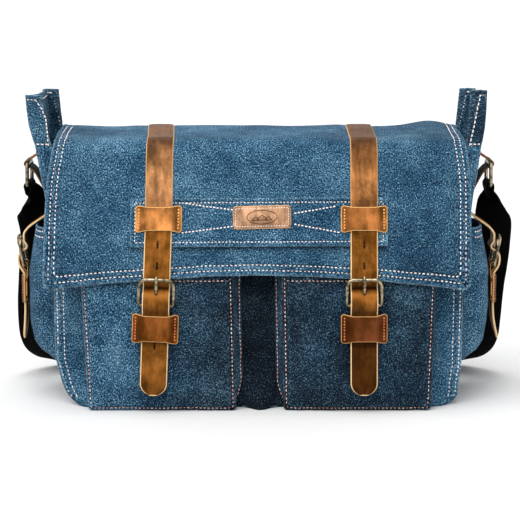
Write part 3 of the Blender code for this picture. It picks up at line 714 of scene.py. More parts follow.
def make_panel(front):
    name = "front_panel" if front else "back_panel"
    rim = RIM if front else BACK_RIM
    surface = panel_point(front)
    ear = EAR_SHARE * STRAIGHT_W
    xs = centred(2 * STRAIGHT_W, 0.006)
    xs = sorted([x for x in xs if abs(abs(x) - ear) > 0.0004] + [-ear, ear])
    zs = stations(rim, 0.006) + [rim + z for z in stations(EAR_TOP - rim, 0.002)[1:]]

    def keep(i, j):
        return zs[j] < rim - 1e-6 or abs(xs[i] + xs[i + 1]) / 2 > ear

    def shade(x, z):
        # Painted shade: on the ears, darkest on the right front one and the back ones; a painted shadow under
        # the flap; deep painted shade in the gap between the pockets.
        ear = ease(rim, rim + 0.010, z)
        if not front:
            return 0.50 * ear
        between = ease(0.185, 0.172, abs(x)) * ease(0.16, 0.14, z)
        under_flap = 0.35 * ease(0.10, 0.135, z) * ease(0.20, 0.14, z)
        return max(1.10 * between, under_flap, (0.72 if x > 0 else 0.26) * ear)

    piece = surface.sheet(name + "_cloth", xs, zs, DENIM, keep, seed=float(front), shade=shade)
    place_piece(piece, "bag", [name])
    return surface


def gusset_x(side, y, z):
    """Half the body's width where a gusset is: fuller at the back than at the front edge."""
    share = ease(-0.020, -GUSSET_HALF, y)
    return half_width(z, side) * (1 - share) + half_width(z, side, True) * share


def gusset_point(side):
    """A side of the body, for y across it and t up it: first the corner, then the wall and the ear."""
    arc = CORNER_R * math.pi / 2

    def point(y, t):
        inset = CLOTH / 2 + GAP
        if t < arc:
            z = CORNER_R - (CORNER_R - inset) * math.cos(t / CORNER_R)
            flared = gusset_x(side, y, z) + CORNER_R - math.sqrt(CORNER_R**2 - (CORNER_R - z) ** 2)
            x = flared - CORNER_R + (CORNER_R - inset) * math.sin(t / CORNER_R)
        else:
            z = CORNER_R + t - arc
            x = gusset_x(side, y, z) - inset
        ear = ease(0.262, EAR_TOP, z)
        slack = min(crumple(y, z, side * 4, 1.0), 0.0001 + 0.002 * ear)
        slack -= 0.0030 * ear * (1 - (y / 0.057) ** 2)
        slack += hem(GUSSET_HALF - abs(y), z, (HEM_OUT,), pucker=0.25) + hem(EAR_TOP - z, y, (HEM_OUT,))
        share = ease(-0.055, 0.055, y)
        lift = EAR_LIFT[(True, side)] * (1 - share) + EAR_LIFT[(False, side)] * share
        return Vector((side * (x + slack), y, z + lift * ear))

    return Cloth(point, flip=side < 0)


GUSSET_LENGTH = CORNER_R * math.pi / 2 + EAR_TOP - 0.0008 - CORNER_R


def make_gusset(name, side):
    surface = gusset_point(side)
    ys = centred(2 * GUSSET_HALF, 0.005)
    ts = [t + 0.0006 for t in stations(GUSSET_LENGTH - 0.0006, 0.005)]
    # painted shade on the gusset's ear
    piece = surface.sheet(name + "_gusset_cloth", ys, ts, DENIM, seed=3.0 + side,
                          shade=lambda y, t: 0.30 * ease(GUSSET_LENGTH - 0.055, GUSSET_LENGTH - 0.030, t))
    place_piece(piece, "bag", [name + "_gusset"])
    return surface


def make_base():
    def point(x, y):
        forward = belly(x, 0) * clamp(y / GUSSET_HALF)
        return Vector((x, -y - forward, 0.0013 + 0.0002 * (1 + rough(x, y, 0, 40))))

    surface = Cloth(point, flip=True)
    gap = 0.0012  # to each gusset
    xs = [x - BASE_HALF[-1] + gap for x in stations(BASE_HALF[-1] + BASE_HALF[1] - 2 * gap, 0.01)]
    ys = centred(2 * GUSSET_HALF, 0.008)
    place_piece(surface.sheet("base_cloth", xs, ys, DENIM_DARK), "bag", ["base_panel"])


def make_lining():
    """An open bag inside the body: walls first, then its floor, which closes in towards the middle."""
    ring, top, half_y, corner = 120, 0.2600, 0.0560, 0.012
    floor_z, clearance = 0.0045, 0.0055

    def outline(k, half_x, half_y):
        corner_here = min(corner, half_x * 0.5, half_y * 0.5)
        spans = [(half_x - corner_here) * 2, (half_y - corner_here) * 2] * 2
        arc = corner_here * math.pi / 2
        at = (sum(spans) + 4 * arc) * k / ring
        heading, x, y = 0.0, -(half_x - corner_here), -half_y
        for span in spans:
            if at <= span:
                return x + math.cos(heading) * at, y + math.sin(heading) * at
            at -= span
            x, y = x + math.cos(heading) * span, y + math.sin(heading) * span
            cx, cy = x - math.sin(heading) * corner_here, y + math.cos(heading) * corner_here
            turned = min(at, arc) / corner_here
            angle = heading - math.pi / 2 + turned
            if at <= arc:
                return cx + math.cos(angle) * corner_here, cy + math.sin(angle) * corner_here
            at -= arc
            heading += math.pi / 2
            angle = heading - math.pi / 2
            x, y = cx + math.cos(angle) * corner_here, cy + math.sin(angle) * corner_here
        return x, y

    levels = [(1.0, floor_z + z) for z in reversed(stations(top - floor_z, 0.006, 0.003, 0.012))]
    levels += [(share / 12, floor_z) for share in range(11, 0, -1)]
    verts, cloth, faces = [], [], []
    for share, z in levels:
        half_x = (room_half(z) - clearance) * share
        for k in range(ring):
            x, y = outline(k, half_x, half_y * share)
            slack = -0.0006 + 0.0011 * rough(x, y, z, 25)
            pull = 1 + min(slack, 0.0) / half_y if share == 1 else 1
            verts.append(Vector((x * (1 + min(slack, 0) / 0.2), y * pull, z)))
            cloth.append((x + y, z + share, 5.0))
    for row in range(len(levels) - 1):
        for k in range(ring):
            n = (k + 1) % ring
            a, b = row * ring, (row + 1) * ring
            faces.append((a + k, b + k, b + n, a + n))
    last = (len(levels) - 1) * ring
    faces.append(tuple(last + k for k in range(ring)))
    piece = thicken("lining_cloth", verts, faces, 0.0010, COTTON, cloth)
    place_piece(piece, "bag", ["lining"])


def make_divider():
    """The padded wall for a laptop: two faces that meet at a bound edge, quilted in a square pattern."""
    low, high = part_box("laptop_divider")
    middle, half = (low + high) / 2, (high - low) / 2
    xs, zs = stations(2 * half.x, 0.005, 0.0015), stations(2 * half.z, 0.005, 0.0015)
    verts, faces, cloth = [], [], []
    pitch, roll = 0.045, 0.012  # of the quilting, and how far the rolled edge reaches

    def lay(sign):
        base = len(verts)
        for z in zs:
            for x in xs:
                edge = min(x, 2 * half.x - x, z, 2 * half.z - z)
                quilt = abs(math.sin(math.pi * (x + z) / pitch)) * abs(math.sin(math.pi * (x - z) / pitch))
                swell = half.y * (0.15 + 0.85 * math.sqrt(clamp(edge / roll))) * (0.72 + 0.28 * quilt**0.5)
                if edge == 0:
                    swell = 0.0004
                px = low.x + x
                limit = (room_half(low.z + z) - 0.0075) / half.x
                verts.append(Vector((px * min(1, limit), middle.y + sign * swell, low.z + z)))
                cloth.append((x, z, 6.0))
        return base

    front, back = lay(-1), lay(1)
    width = len(xs)
    for j in range(len(zs) - 1):
        for i in range(width - 1):
            a = j * width + i
            quad = (a, a + 1, a + 1 + width, a + width)
            faces.append(tuple(front + k for k in quad))
            faces.append(tuple(back + k for k in reversed(quad)))
    rim = list(range(width)) + [j * width + width - 1 for j in range(1, len(zs))]
    rim += [(len(zs) - 1) * width + i for i in reversed(range(width - 1))]
    rim += [j * width for j in reversed(range(1, len(zs) - 1))]
    for a, b in zip(rim, rim[1:] + rim[:1]):
        faces.append((front + b, front + a, back + a, back + b))
    piece = mesh_piece("laptop_divider_pad", verts, faces, PADDING, None, cloth)
    place_piece(piece, "bag", ["laptop_divider"])


# ---------------------------------------------------------------- pockets
POCKET_TOP, POCKET_LOW, POCKET_Y, POCKET_BACK = 0.143, 0.0008, -0.0868, -0.0615
POCKET_CORNER = 0.003
POCKET_SIDES = {  # x at the mouth and at the bottom, of the left edge and of the right one
    "left": ((-0.1785, -0.1720), (-0.0270, -0.0240)),
    "right": ((0.0235, 0.0260), (0.1770, 0.1730)),
}


def pocket_edges(name, z):
    """x of both edges of a front pocket's face at height z, with its bottom corners rounded."""
    share = 1 - clamp((z - POCKET_LOW) / (POCKET_TOP - POCKET_LOW))
    (a, b), (c, d) = POCKET_SIDES[name]
    up = POCKET_CORNER - (z - POCKET_LOW)
    inset = POCKET_CORNER - math.sqrt(max(POCKET_CORNER**2 - max(up, 0) ** 2, 0)) if up > 0 else 0
    return a + (b - a) * share + inset, c + (d - c) * share - inset


def pocket_surface(name):
    (wide_a, _), (wide_b, _) = POCKET_SIDES[name]
    width = wide_b - wide_a
    strap = STRAP_X[name]

    def point(x, z):
        left, right = pocket_edges(name, z)
        across = left + (right - left) * x / width
        from_edge = min(across - left, right - across)
        from_low = z - POCKET_LOW
        near = min(from_edge, from_low)
        v = from_low / (POCKET_TOP - POCKET_LOW)
        swell = 0.0042 * math.sin(math.pi * clamp(x / width)) ** 0.6
        swell *= math.sin(math.pi * clamp(v) ** 0.75) ** 0.8
        pressed = 1 - 0.9 * bell(across - strap, 0.024) * ease(0.030, 0.060, z)
        fold = 0.0016 * rough(across * 1.6, z * 0.55, 11 + strap, 22) + crumple(across, z, strap, 1.1)
        out = (swell + fold * ease(0, 0.012, near) * (1 - ease(0.100, 0.125, z))) * pressed
        out = min(out, 0.0022 if z > 0.095 else 0.0060)
        out -= 0.0040 * (1 - ease(0.0, 0.0065, near))
        out += hem(from_edge, z, (POCKET_ROW,), strap) + hem(from_low, across, (POCKET_ROW,), strap)
        out += hem(POCKET_TOP - z, across, MOUTH_ROWS, strap)
        sag = 0.0010 * rough(across, 2.0 + strap, 0, 28) * (1 - ease(0.0, 0.055, from_low))
        return Vector((across, POCKET_Y - out, z + max(sag, -0.0002)))

    return Cloth(point), width


def make_pocket(name):
    surface, width = pocket_surface(name)
    xs = stations(width, 0.0035)
    zs = [POCKET_LOW + z for z in stations(POCKET_TOP - POCKET_LOW, 0.0035)]

    def shade(x, z):
        # Painted shade: a painted shadow under the flap, darker near the edges, darker towards the right of
        # the left pocket and over the right pocket, and a painted highlight at the left pocket's left edge;
        # plus random mottling.
        under_flap = 0.35 * ease(0.120, 0.137, z)
        along = 0.80 * ease(0.030, 0.100, x) - 0.06 if name == "left" else 0.80 - 0.14 * ease(0.10, 0.15, x)
        edge = min(x, width - x, z - POCKET_LOW)
        near_edge = 0.22 * ease(0.030, 0.0, edge)
        shade_and_mottle = along + 0.24 * rough(x, z, 3, 26) + under_flap + near_edge
        return clamp(shade_and_mottle, -0.15, 0.95) + 0.6 * hem_shade(edge, (POCKET_ROW,))

    piece = surface.sheet(name + "_pocket_face", xs, zs, DENIM, seed=20 + width, offset=(STRAP_X[name], 0),
                          shade=shade)
    place_piece(piece, "bag", [name + "_pocket_front"])

    zs = [POCKET_LOW + (POCKET_TOP - 0.001 - POCKET_LOW) * k / 60 for k in range(61)]
    left_side = [(pocket_edges(name, z)[0], z) for z in reversed(zs)]
    right_side = [(pocket_edges(name, z)[1], z) for z in zs]
    line = even([Vector((x, 0, z)) for x, z in left_side + right_side], 150)
    length = sum((b - a).length for a, b in zip(line, line[1:]))
    behind = 0.0042  # the strip starts that far behind the face
    depth = POCKET_BACK - POCKET_Y - behind
    centre = (line[0] + line[-1]) / 2

    def point(d, t):
        at = clamp(t / length) * (len(line) - 1)
        k = min(int(at), len(line) - 2)
        here = line[k].lerp(line[k + 1], at - k)
        along = (line[k + 1] - line[k]).normalized()
        away = Vector((-along.z, 0, along.x)) * -1
        inner = (here.x > centre.x) == (name == "left")
        share = d / depth
        flared = (0.0085 if inner else 0.0030) * share * ease(0.006, 0.03, here.z)
        bulge = -0.0012 + 0.0016 * math.sin(math.pi * share) - 0.0018 * bell(share - 0.45, 0.12)
        bulge += 0.0012 * rough(d, t, 9, 60) * math.sin(math.pi * share)
        spot = here + away * (flared + bulge)
        return Vector((spot.x, POCKET_Y + behind + d, max(spot.z, 0.0022)))

    strip = Cloth(point)
    ds = stations(depth, 0.002, 0.001, 0.003)
    ts = stations(length, 0.0035)
    # painted shade, darker deeper into the pocket
    piece = strip.sheet(name + "_pocket_bellows", ds, ts, DENIM, seed=30 + width,
                        shade=lambda d, t: 0.45 + 12 * d)
    place_piece(piece, "bag", [name + "_pocket_gusset"])
    rows = Stitching(name + "_bellows_stitches", ORANGE)
    first, last = (0.55 * length, length - 0.004) if name == "left" else (0.004, 0.45 * length)
    rows.row(strip.outer, [(depth * 0.62, first), (depth * 0.62, last)], radius=0.0006)
    place_piece(rows.finish(), "bag")
    return surface, width


SIDE_POCKET_HALF = 0.0415
SIDE_POCKET_LOW, SIDE_POCKET_TOP = 0.045, 0.180
SIDE_POCKET_FULL = 0.0185  # how far its middle stands out, on average
SIDE_POCKET_REACH = [  # x of its middle, by height
    (0.0450, 0.2200), (0.0520, 0.2315), (0.0600, 0.2370), (0.0800, 0.2395), (0.1310, 0.2390),
    (SIDE_POCKET_TOP, 0.2295)]


def side_fullness(y):
    """How far a side pocket stands out at y, as a share of its middle."""
    share = abs(y) / SIDE_POCKET_HALF
    return (1 - share**3.2) ** 0.55 if share < 1 else 0.0


def side_pocket_arc(steps=100):
    """Pairs of the distance along the cloth from its middle, and y there. They crowd towards its edge."""
    ys = [SIDE_POCKET_HALF * (1 - (1 - k / steps) ** 2) for k in range(steps + 1)]
    arc = [(0.0, 0.0)]
    for before, here in zip(ys, ys[1:]):
        rise = SIDE_POCKET_FULL * (side_fullness(before) - side_fullness(here))
        arc.append((arc[-1][0] + math.hypot(here - before, rise), here))
    return arc


SIDE_POCKET_ARC = side_pocket_arc()
SIDE_POCKET_GIRTH = SIDE_POCKET_ARC[-1][0]


def side_pocket_surface(side):
    def point(girth, z):
        y = math.copysign(table(SIDE_POCKET_ARC, abs(girth)), girth)
        reach = table(SIDE_POCKET_REACH, z)
        full = side_fullness(y)
        slack = crumple(y, z, side * 9, 1.0) * full * ease(0, 0.02, SIDE_POCKET_HALF - abs(y))
        foot = gusset_x(side, y, z) + CLOTH / 2 + GAP
        x = foot + (reach - 0.2165) * full + min(slack, 0.0004)
        x += hem(SIDE_POCKET_TOP - z, y, MOUTH_ROWS, pucker=0.5) * full
        return Vector((side * x, y, z))

    return Cloth(point, flip=side < 0)


def make_side_pocket(name, side):
    surface = side_pocket_surface(side)
    ys = centred(2 * SIDE_POCKET_GIRTH, 0.0035)
    zs = [SIDE_POCKET_LOW + z for z in stations(SIDE_POCKET_TOP - SIDE_POCKET_LOW, 0.0035)]
    piece = surface.sheet(name + "_side_pocket_cloth", ys, zs, DENIM, seed=40 + side,
                          shade=lambda y, z: 0.20 if side < 0 else 0.0)
    place_piece(piece, "bag", [name + "_side_pocket"])
    return surface


# ---------------------------------------------------------------- the flap
TURN = math.pi / 2 - FLAP_LEAN
TANGENT = FOLD_R * math.tan(TURN / 2)
FLAT = HINGE.y - FOLD.y - TANGENT
DROP_START = FLAT + FOLD_R * TURN
FLAP_LENGTH = DROP_START + FLAP_DROP - TANGENT
FLAP_HALF = 0.2125
FLAP_CORNER = 0.007
FLAP_EDGE = {  # half the flap's width, by distance from its back seam
    -1: [(0.0, 0.2066), (0.06, 0.2072), (FLAT, 0.2047), (FLAT + 0.017, 0.2055), (DROP_START, 0.2078),
         (DROP_START + 0.010, 0.2097), (DROP_START + 0.026, 0.2118), (DROP_START + 0.060, 0.2136),
         (FLAP_LENGTH, 0.2152)],
    1: [(0.0, 0.2070), (0.06, 0.2070), (FLAT, 0.2063), (FLAT + 0.017, 0.2063), (DROP_START, 0.2085),
        (DROP_START + 0.010, 0.2098), (DROP_START + 0.028, 0.2112), (FLAP_LENGTH, 0.2110)],
}


def below_fold(distance):
    """How far along the flap a place is, from its distance below the fold line."""
    return DROP_START + distance - TANGENT


def flap_frame(s):
    """The middle of the flap at s, and the direction out of it."""
    if s < FLAT:
        return Vector((0, HINGE.y - s, HINGE.z)), Vector((0, 0, 1))
    centre = Vector((0, FOLD.y + TANGENT, FOLD.z - FOLD_R))
    if s < DROP_START:
        angle = (s - FLAT) / FOLD_R
        out = Vector((0, -math.sin(angle), math.cos(angle)))
        return centre + out * FOLD_R, out
    return centre + OUT * FOLD_R + DOWN * (s - DROP_START), OUT


def flap_sway(x, s):
    """How far the flap's cloth stands off its flat shape."""
    top = 1 - ease(FLAT - 0.012, DROP_START, s)
    back = 1 - ease(0.0, FLAT, s)
    drape = ease(DROP_START, DROP_START + 0.03, s)
    sway = top * (0.0030 * back + 0.0022 * rough(x, s * 0.5, 1.5, 16) - 0.0010)
    for at in STRAP_X.values():
        sway -= top * 0.0018 * bell(x - at * 1.03, 0.022)
    sway += top * 0.0042 * bell(x - 0.180, 0.022) * ease(0.14, 0.0, s)
    sway += 0.0008 * rough(x, s, 4.5, 30) * (0.4 + 0.6 * top)
    low = ease(FLAP_LENGTH - 0.05, FLAP_LENGTH, s)
    sway += drape * (0.0009 * rough(x, s * 0.7, 8.5, 12) + 0.0012 * low * max(rough(x, 3.3, 0, 20), -0.2))
    return sway


def flap_pattern(x, s):
    """From a place on the cut cloth to (across, along): the edges pull in, and the hem rises mid-way."""
    edge = table(FLAP_EDGE[1 if x > 0 else -1], s)
    left = FLAP_LENGTH - s
    if left < FLAP_CORNER:
        edge -= FLAP_CORNER - math.sqrt(max(FLAP_CORNER**2 - (FLAP_CORNER - left) ** 2, 0))
    rise = 0.0145 * (1 - abs(x / FLAP_HALF) ** 1.6) - 0.0105 + 0.0012 * rough(x, 0.4, 0, 22)
    return x / FLAP_HALF * edge, s - rise * ease(FLAP_LENGTH - 0.055, FLAP_LENGTH, s)


def flap_point(x, s):
    across, along = flap_pattern(x, s)
    middle, out = flap_frame(along)
    edge = table(FLAP_EDGE[1 if x > 0 else -1], s) - abs(across)
    height = flap_sway(across, along) + hem(edge, s) + hem(FLAP_LENGTH - s, x)
    height += crumple(across, along, 2.0, 0.35)
    return middle + Vector((across, 0, 0)) + out * height


FLAP = Cloth(flap_point, 0.0026, flip=True)
FLAP_STRAIGHT = 0.0013  # the top of the flap's cloth, above its middle


def on_flap(x, s, lift):
    """A place that far above the flap's middle, for pieces that lie on it and don't follow its puckers."""
    middle, out = flap_frame(s)
    return middle + Vector((x, 0, 0)) + out * (flap_sway(x, s) + lift)


BAND_LOW_S = below_fold(BAND_AT + BAND_H / 2)  # the band's lower edge, along the flap


def make_flap():
    xs = centred(2 * FLAP_HALF, 0.0035)
    count = round(FLAP_LENGTH / 0.003)
    ss = [FLAP_LENGTH * i / count for i in range(count - 4)]
    near_hem = [FLAP_LENGTH - d for d in stations(0.0125 * 2, 0.001)[::-1]]
    ss += [s for s in near_hem if s > ss[-1] + 0.0006]

    def shade(x, s):
        # Painted shade in the seams' dips, a painted shadow under the band's lower edge, and painted shade
        # towards the right; darker too towards the left edge and the bottom.
        edge = hem_shade(min(FLAP_HALF - abs(x), FLAP_LENGTH - s))
        under_band = abs(x) < BAND_W / 2 + 0.002
        below = BAND_LOW_S + 0.0015
        edge += 0.55 * under_band * ease(below - 0.004, below, s) * ease(below + 0.0065, below, s)
        return edge + 0.22 * ease(0.03, 0.21, x) + 0.12 * ease(-0.12, -0.20, x) + 0.16 * ease(0.19, 0.27, s)

    piece = FLAP.sheet("flap_cloth", xs, ss, DENIM, shade=shade)
    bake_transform(piece)
    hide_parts("flap_top_panel", "flap_front_panel")


def u_path(half, top, bottom, radius):
    """Down one side, round two corners and up the other side."""
    points = [(-half, top), (-half, bottom - radius)]
    for centre, first in ((-half + radius, 180), (half - radius, 90)):
        for step in range(7):
            angle = math.radians(first - 15 * step)
            points.append((centre + radius * math.cos(angle), bottom - radius + radius * math.sin(angle)))
    return points + [(half, top)]


def make_back_binding():
    """The roll of cloth over the seam between the back panel and the flap. It bends at the flap's hinge."""
    radius, drop = 0.0052, 0.012
    arc = radius * math.pi / 2

    def point(x, t):
        angle = clamp((t - drop) / arc) * math.pi / 2
        top = HINGE.z + flap_sway(x, 0.0) - 0.0002
        centre = Vector((x, HINGE.y + 0.0005, top - radius))
        spot = centre + Vector((0, math.cos(angle), math.sin(angle))) * radius
        if t < drop:
            spot.z -= drop - t
            spot.y -= 0.0034 * ease(drop, 0.0, t)
        return spot + Vector((0, 0.0003 * rough(x, t, 2, 60), 0))

    xs = centred(0.4156, 0.004)
    ts = stations(drop + arc, 0.0015, 0.0010, 0.004)
    binding = Cloth(point, 0.0022)
    piece = binding.sheet("back_seam_binding", xs, ts, DENIM)
    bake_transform(piece)
    rows = Stitching("back_binding_stitches", PEACH)
    rows.row(binding.outer, [(-0.202, 0.0035), (0.202, 0.0035)])
    place_piece(rows.finish(), "bag")


def make_band():
    """The cloth band across the flap, which the closure straps and the label are sewn to."""
    middle = below_fold(BAND_AT)

    def point(x, y):
        edge = min(BAND_W / 2 - abs(x), BAND_H / 2 - abs(y))
        loose = 1 - max(bell(x - at, 0.020) for at in STRAP_X.values())
        lift = FLAP_STRAIGHT + 0.0010 + 0.0003 * rough(x, y, 6, 40)
        lift += 0.0022 * loose * ease(0.004, BAND_H / 2, y)
        return on_flap(x, middle + y - 0.0015 * x / BAND_W, lift + hem(edge, x + y, (BAND_ROW,)))

    band = Cloth(point, 0.0014, flip=True)
    xs, ys = centred(BAND_W, 0.003), centred(BAND_H, 0.003)
    piece = band.sheet("flap_band_cloth", xs, ys, DENIM, seed=9.0, offset=(0.31, 0.17))
    place_piece(piece, "flap_front", ["flap_band"])
    rows = Stitching("flap_band_stitches", PEACH)
    half, tall = BAND_W / 2 - BAND_ROW, BAND_H / 2 - BAND_ROW
    edges = [[(-half, -tall), (half, -tall)], [(-half, tall), (half, tall)],
             [(-half, -tall), (-half, tall)], [(half, -tall), (half, tall)]]
    slanted = [[(-0.078, -0.0195), (-0.0255, -0.0125)], [(-0.078, 0.0105), (-0.0255, 0.0040)],
               [(0.0345, -0.0085), (0.0770, -0.0155)], [(0.0345, 0.0020), (0.0810, 0.0110)]]
    for line in edges + slanted:
        rows.row(band.outer, line, pitch=0.0036)
    place_piece(rows.finish(), "flap_front")
    return band


def make_label():
    """A small sewn patch with a plain mark: three low hills inside an oval."""
    middle = below_fold(BAND_AT) - 0.005
    tilt = math.radians(-1.5)

    def point(x, y):
        corner = corner_inset(x, LABEL_W / 2, 0.0028)
        y = clamp(y, corner - LABEL_H / 2, LABEL_H / 2 - corner)
        u = 0.003 + x * math.cos(tilt) - y * math.sin(tilt)
        v = x * math.sin(tilt) + y * math.cos(tilt)
        edge = min(LABEL_W / 2 - abs(x), LABEL_H / 2 - abs(y))
        lift = FLAP_STRAIGHT + 0.0019 + 0.0009 + 0.0003 * rough(x, y, 3, 60)
        return on_flap(u, middle + v, lift - 0.0004 * bell(edge - 0.0020, 0.0007))

    patch = Cloth(point, 0.0014, flip=True)
    xs, ys = (centred(size, 0.0012, 0.0006, 0.003) for size in (LABEL_W, LABEL_H))
    piece = patch.sheet("label_leather", xs, ys, LABEL_LEATHER, seed=2.0)
    place_piece(piece, "flap_front", ["label_patch"])
    rows = Stitching("label_stitches", PEACH)
    half, tall = LABEL_W / 2 - 0.002, LABEL_H / 2 - 0.002
    corners = [(-half, -tall), (half, -tall), (half, tall), (-half, tall), (-half, -tall)]
    for a, b in zip(corners, corners[1:]):
        rows.row(patch.outer, [a, b], pitch=0.0026, radius=0.00036)
    place_piece(rows.finish(), "flap_front")

    turns = [math.radians(a) for a in range(0, 361, 8)]
    mark = [[(0.0150 * math.cos(a), 0.0068 * math.sin(a)) for a in turns]]
    for at, size in ((-0.0062, 0.0030), (0.0, 0.0044), (0.0062, 0.0030)):
        hill = [t / 8 for t in range(-8, 9)]
        mark.append([(at + size * 1.15 * t, 0.0028 - size * math.cos(math.pi * t / 2)) for t in hill])
    mark.append([(-0.0105, 0.0030), (0.0105, 0.0030)])
    for number, line in enumerate(mark):
        path = even([Vector((x, y, 0)) for x, y in line], 60)
        path = [patch.outer(p.x, p.y, -0.0001) for p in path]
        piece = tube(f"label_mark_{number}", path, 0.00038, UMBER, 6, closed=False)
        place_piece(piece, "flap_front")


# ---------------------------------------------------------------- straps
class Ribbon(Cloth):
    """A strap along a line of centres, with the direction across it at each. Its far end may be rounded."""

    def __init__(self, centres, across, width, thick, step=0.0015, tip=0.0, cup=0.0):
        both = [Vector((*c, *a)) for c, a in zip(centres, across)]
        length = sum((Vector(b[:3]) - Vector(a[:3])).length for a, b in zip(both, both[1:]))
        self.line = even(both, max(8, round(length / step)))
        self.length, self.width, self.tip, self.cup = length, width, tip, cup
        super().__init__(self.place, thick, flip=True)

    def frame(self, y):
        at = clamp(y / self.length, -0.02, 1.02) * (len(self.line) - 1)
        k = max(0, min(int(at), len(self.line) - 2))
        if 0 <= at <= len(self.line) - 1:
            here = self.line[k].lerp(self.line[k + 1], clamp(at - k, 0, 1))
        else:
            here = self.line[k] + (self.line[k + 1] - self.line[k]) * (at - k)
        a, b = self.line[max(k - 1, 0)], self.line[min(k + 2, len(self.line) - 1)]
        along = (Vector(b[:3]) - Vector(a[:3])).normalized()
        across = Vector(here[3:])
        across = (across - along * across.dot(along)).normalized()
        return Vector(here[:3]), across, along.cross(across)

    def place(self, x, y):
        centre, across, out = self.frame(y)
        left = self.length - y
        narrow = 1.0
        if self.tip and left < self.tip:
            narrow = max(1 - abs((self.tip - left) / self.tip) ** 2.3, 0.0) ** 0.5
        share = abs(2 * x / self.width)
        return centre + across * x * max(narrow, 0.30) - out * self.cup * share**4

    def at_height(self, z):
        """How far along the strap that height is."""
        best = min(range(len(self.line)), key=lambda k: abs(self.line[k].z - z))
        return self.length * best / (len(self.line) - 1)

    def columns(self, *more):
        """The places across it, close together at its edges."""
        half = self.width / 2
        xs = {0.0, *more, half * 0.4, half * 0.62, half * 0.8, half - 0.0016, half - 0.0008, half}
        return sorted(xs | {-x for x in xs})

    def strap(self, name, material, step=0.0025, seed=0.0, wear=0.45, shade=None):
        ys = stations(self.length, step, 0.0008, max(self.tip, 0.004))
        return self.sheet(name, self.columns(), ys, material, wear=wear, seed=seed,
                          offset=(seed * 0.37, seed * 0.61), shade=shade)


CLOSURE_S = below_fold(CLOSURE_AT)
STRAP_ROUTE = {  # x of the closure straps, by distance along the flap
    "left": [(0.0, -0.1040), (FLAT, -0.0992), (below_fold(0.080), -0.1002), (CLOSURE_S, -0.1020)],
    "right": [(0.0, 0.1052), (FLAT, 0.1052), (CLOSURE_S, 0.1050)],
}
KEEPER_SPLIT = below_fold(KEEPER_AT)
BAND_RISE = 0.0018  # the band's outside, above the flap's
ON_CLOTH = FLAP_STRAIGHT + STRAP_T / 2 + GAP
ON_BAND = ON_CLOTH + BAND_RISE


def strap_lift(s):
    return ON_CLOTH + (ON_BAND - ON_CLOTH) * ease(below_fold(0.046), below_fold(0.0585), s)


class Rig:
    """The frame a closure hangs in: its hinge line, and the directions across, out and up."""

    def __init__(self, origin, across, up):
        self.origin, self.across, self.up = origin, Vector(across), Vector(up)
        self.out = self.across.cross(self.up)

    def at(self, across, out, up):
        return self.origin + self.across * across + self.out * out + self.up * up


def splayed(name, angle):
    a = math.radians(angle)
    across, up = (math.cos(a), 0, -math.sin(a)), (math.sin(a), 0, math.cos(a))
    return Rig(joint_at(name + "_closure_swing"), across, up)


RIGS = {"left": splayed("left", 2.2), "right": splayed("right", -0.4)}
SIDE_RIGS = {
    name: Rig(joint_at(name + "_side_closure_swing"), (0, side, 0), (0, 0, 1)) for name, side in SIDES}

TAIL_LINE = [(0.0, -0.0030), (-0.0010, -0.0050), (-0.0024, -0.0070), (-0.0030, -0.0090), (-0.0022, -0.0108),
             (0.0006, -0.0124), (0.0036, -0.0142), (0.0056, -0.0176), (0.0061, -0.0220), (0.0057, -0.0262),
             (0.0044, -0.0304), (0.0012, -0.0350), (-0.0002, -0.0390)]  # (out, up) from the hinge line


def tail_points(rig, length, curl):
    """A strap's tail, from its hinge: behind the buckle's top bar, over its pivot bar, down to the tip."""
    points = [rig.at(0, out, up) for out, up in TAIL_LINE]
    last_out, last_up = TAIL_LINE[-1]
    steps = 9
    for k in range(1, steps + 1):
        share = k / steps
        up = last_up - (length + last_up) * share
        points.append(rig.at(0, last_out + curl * max(share - 0.45, 0) ** 2, up))
    return points


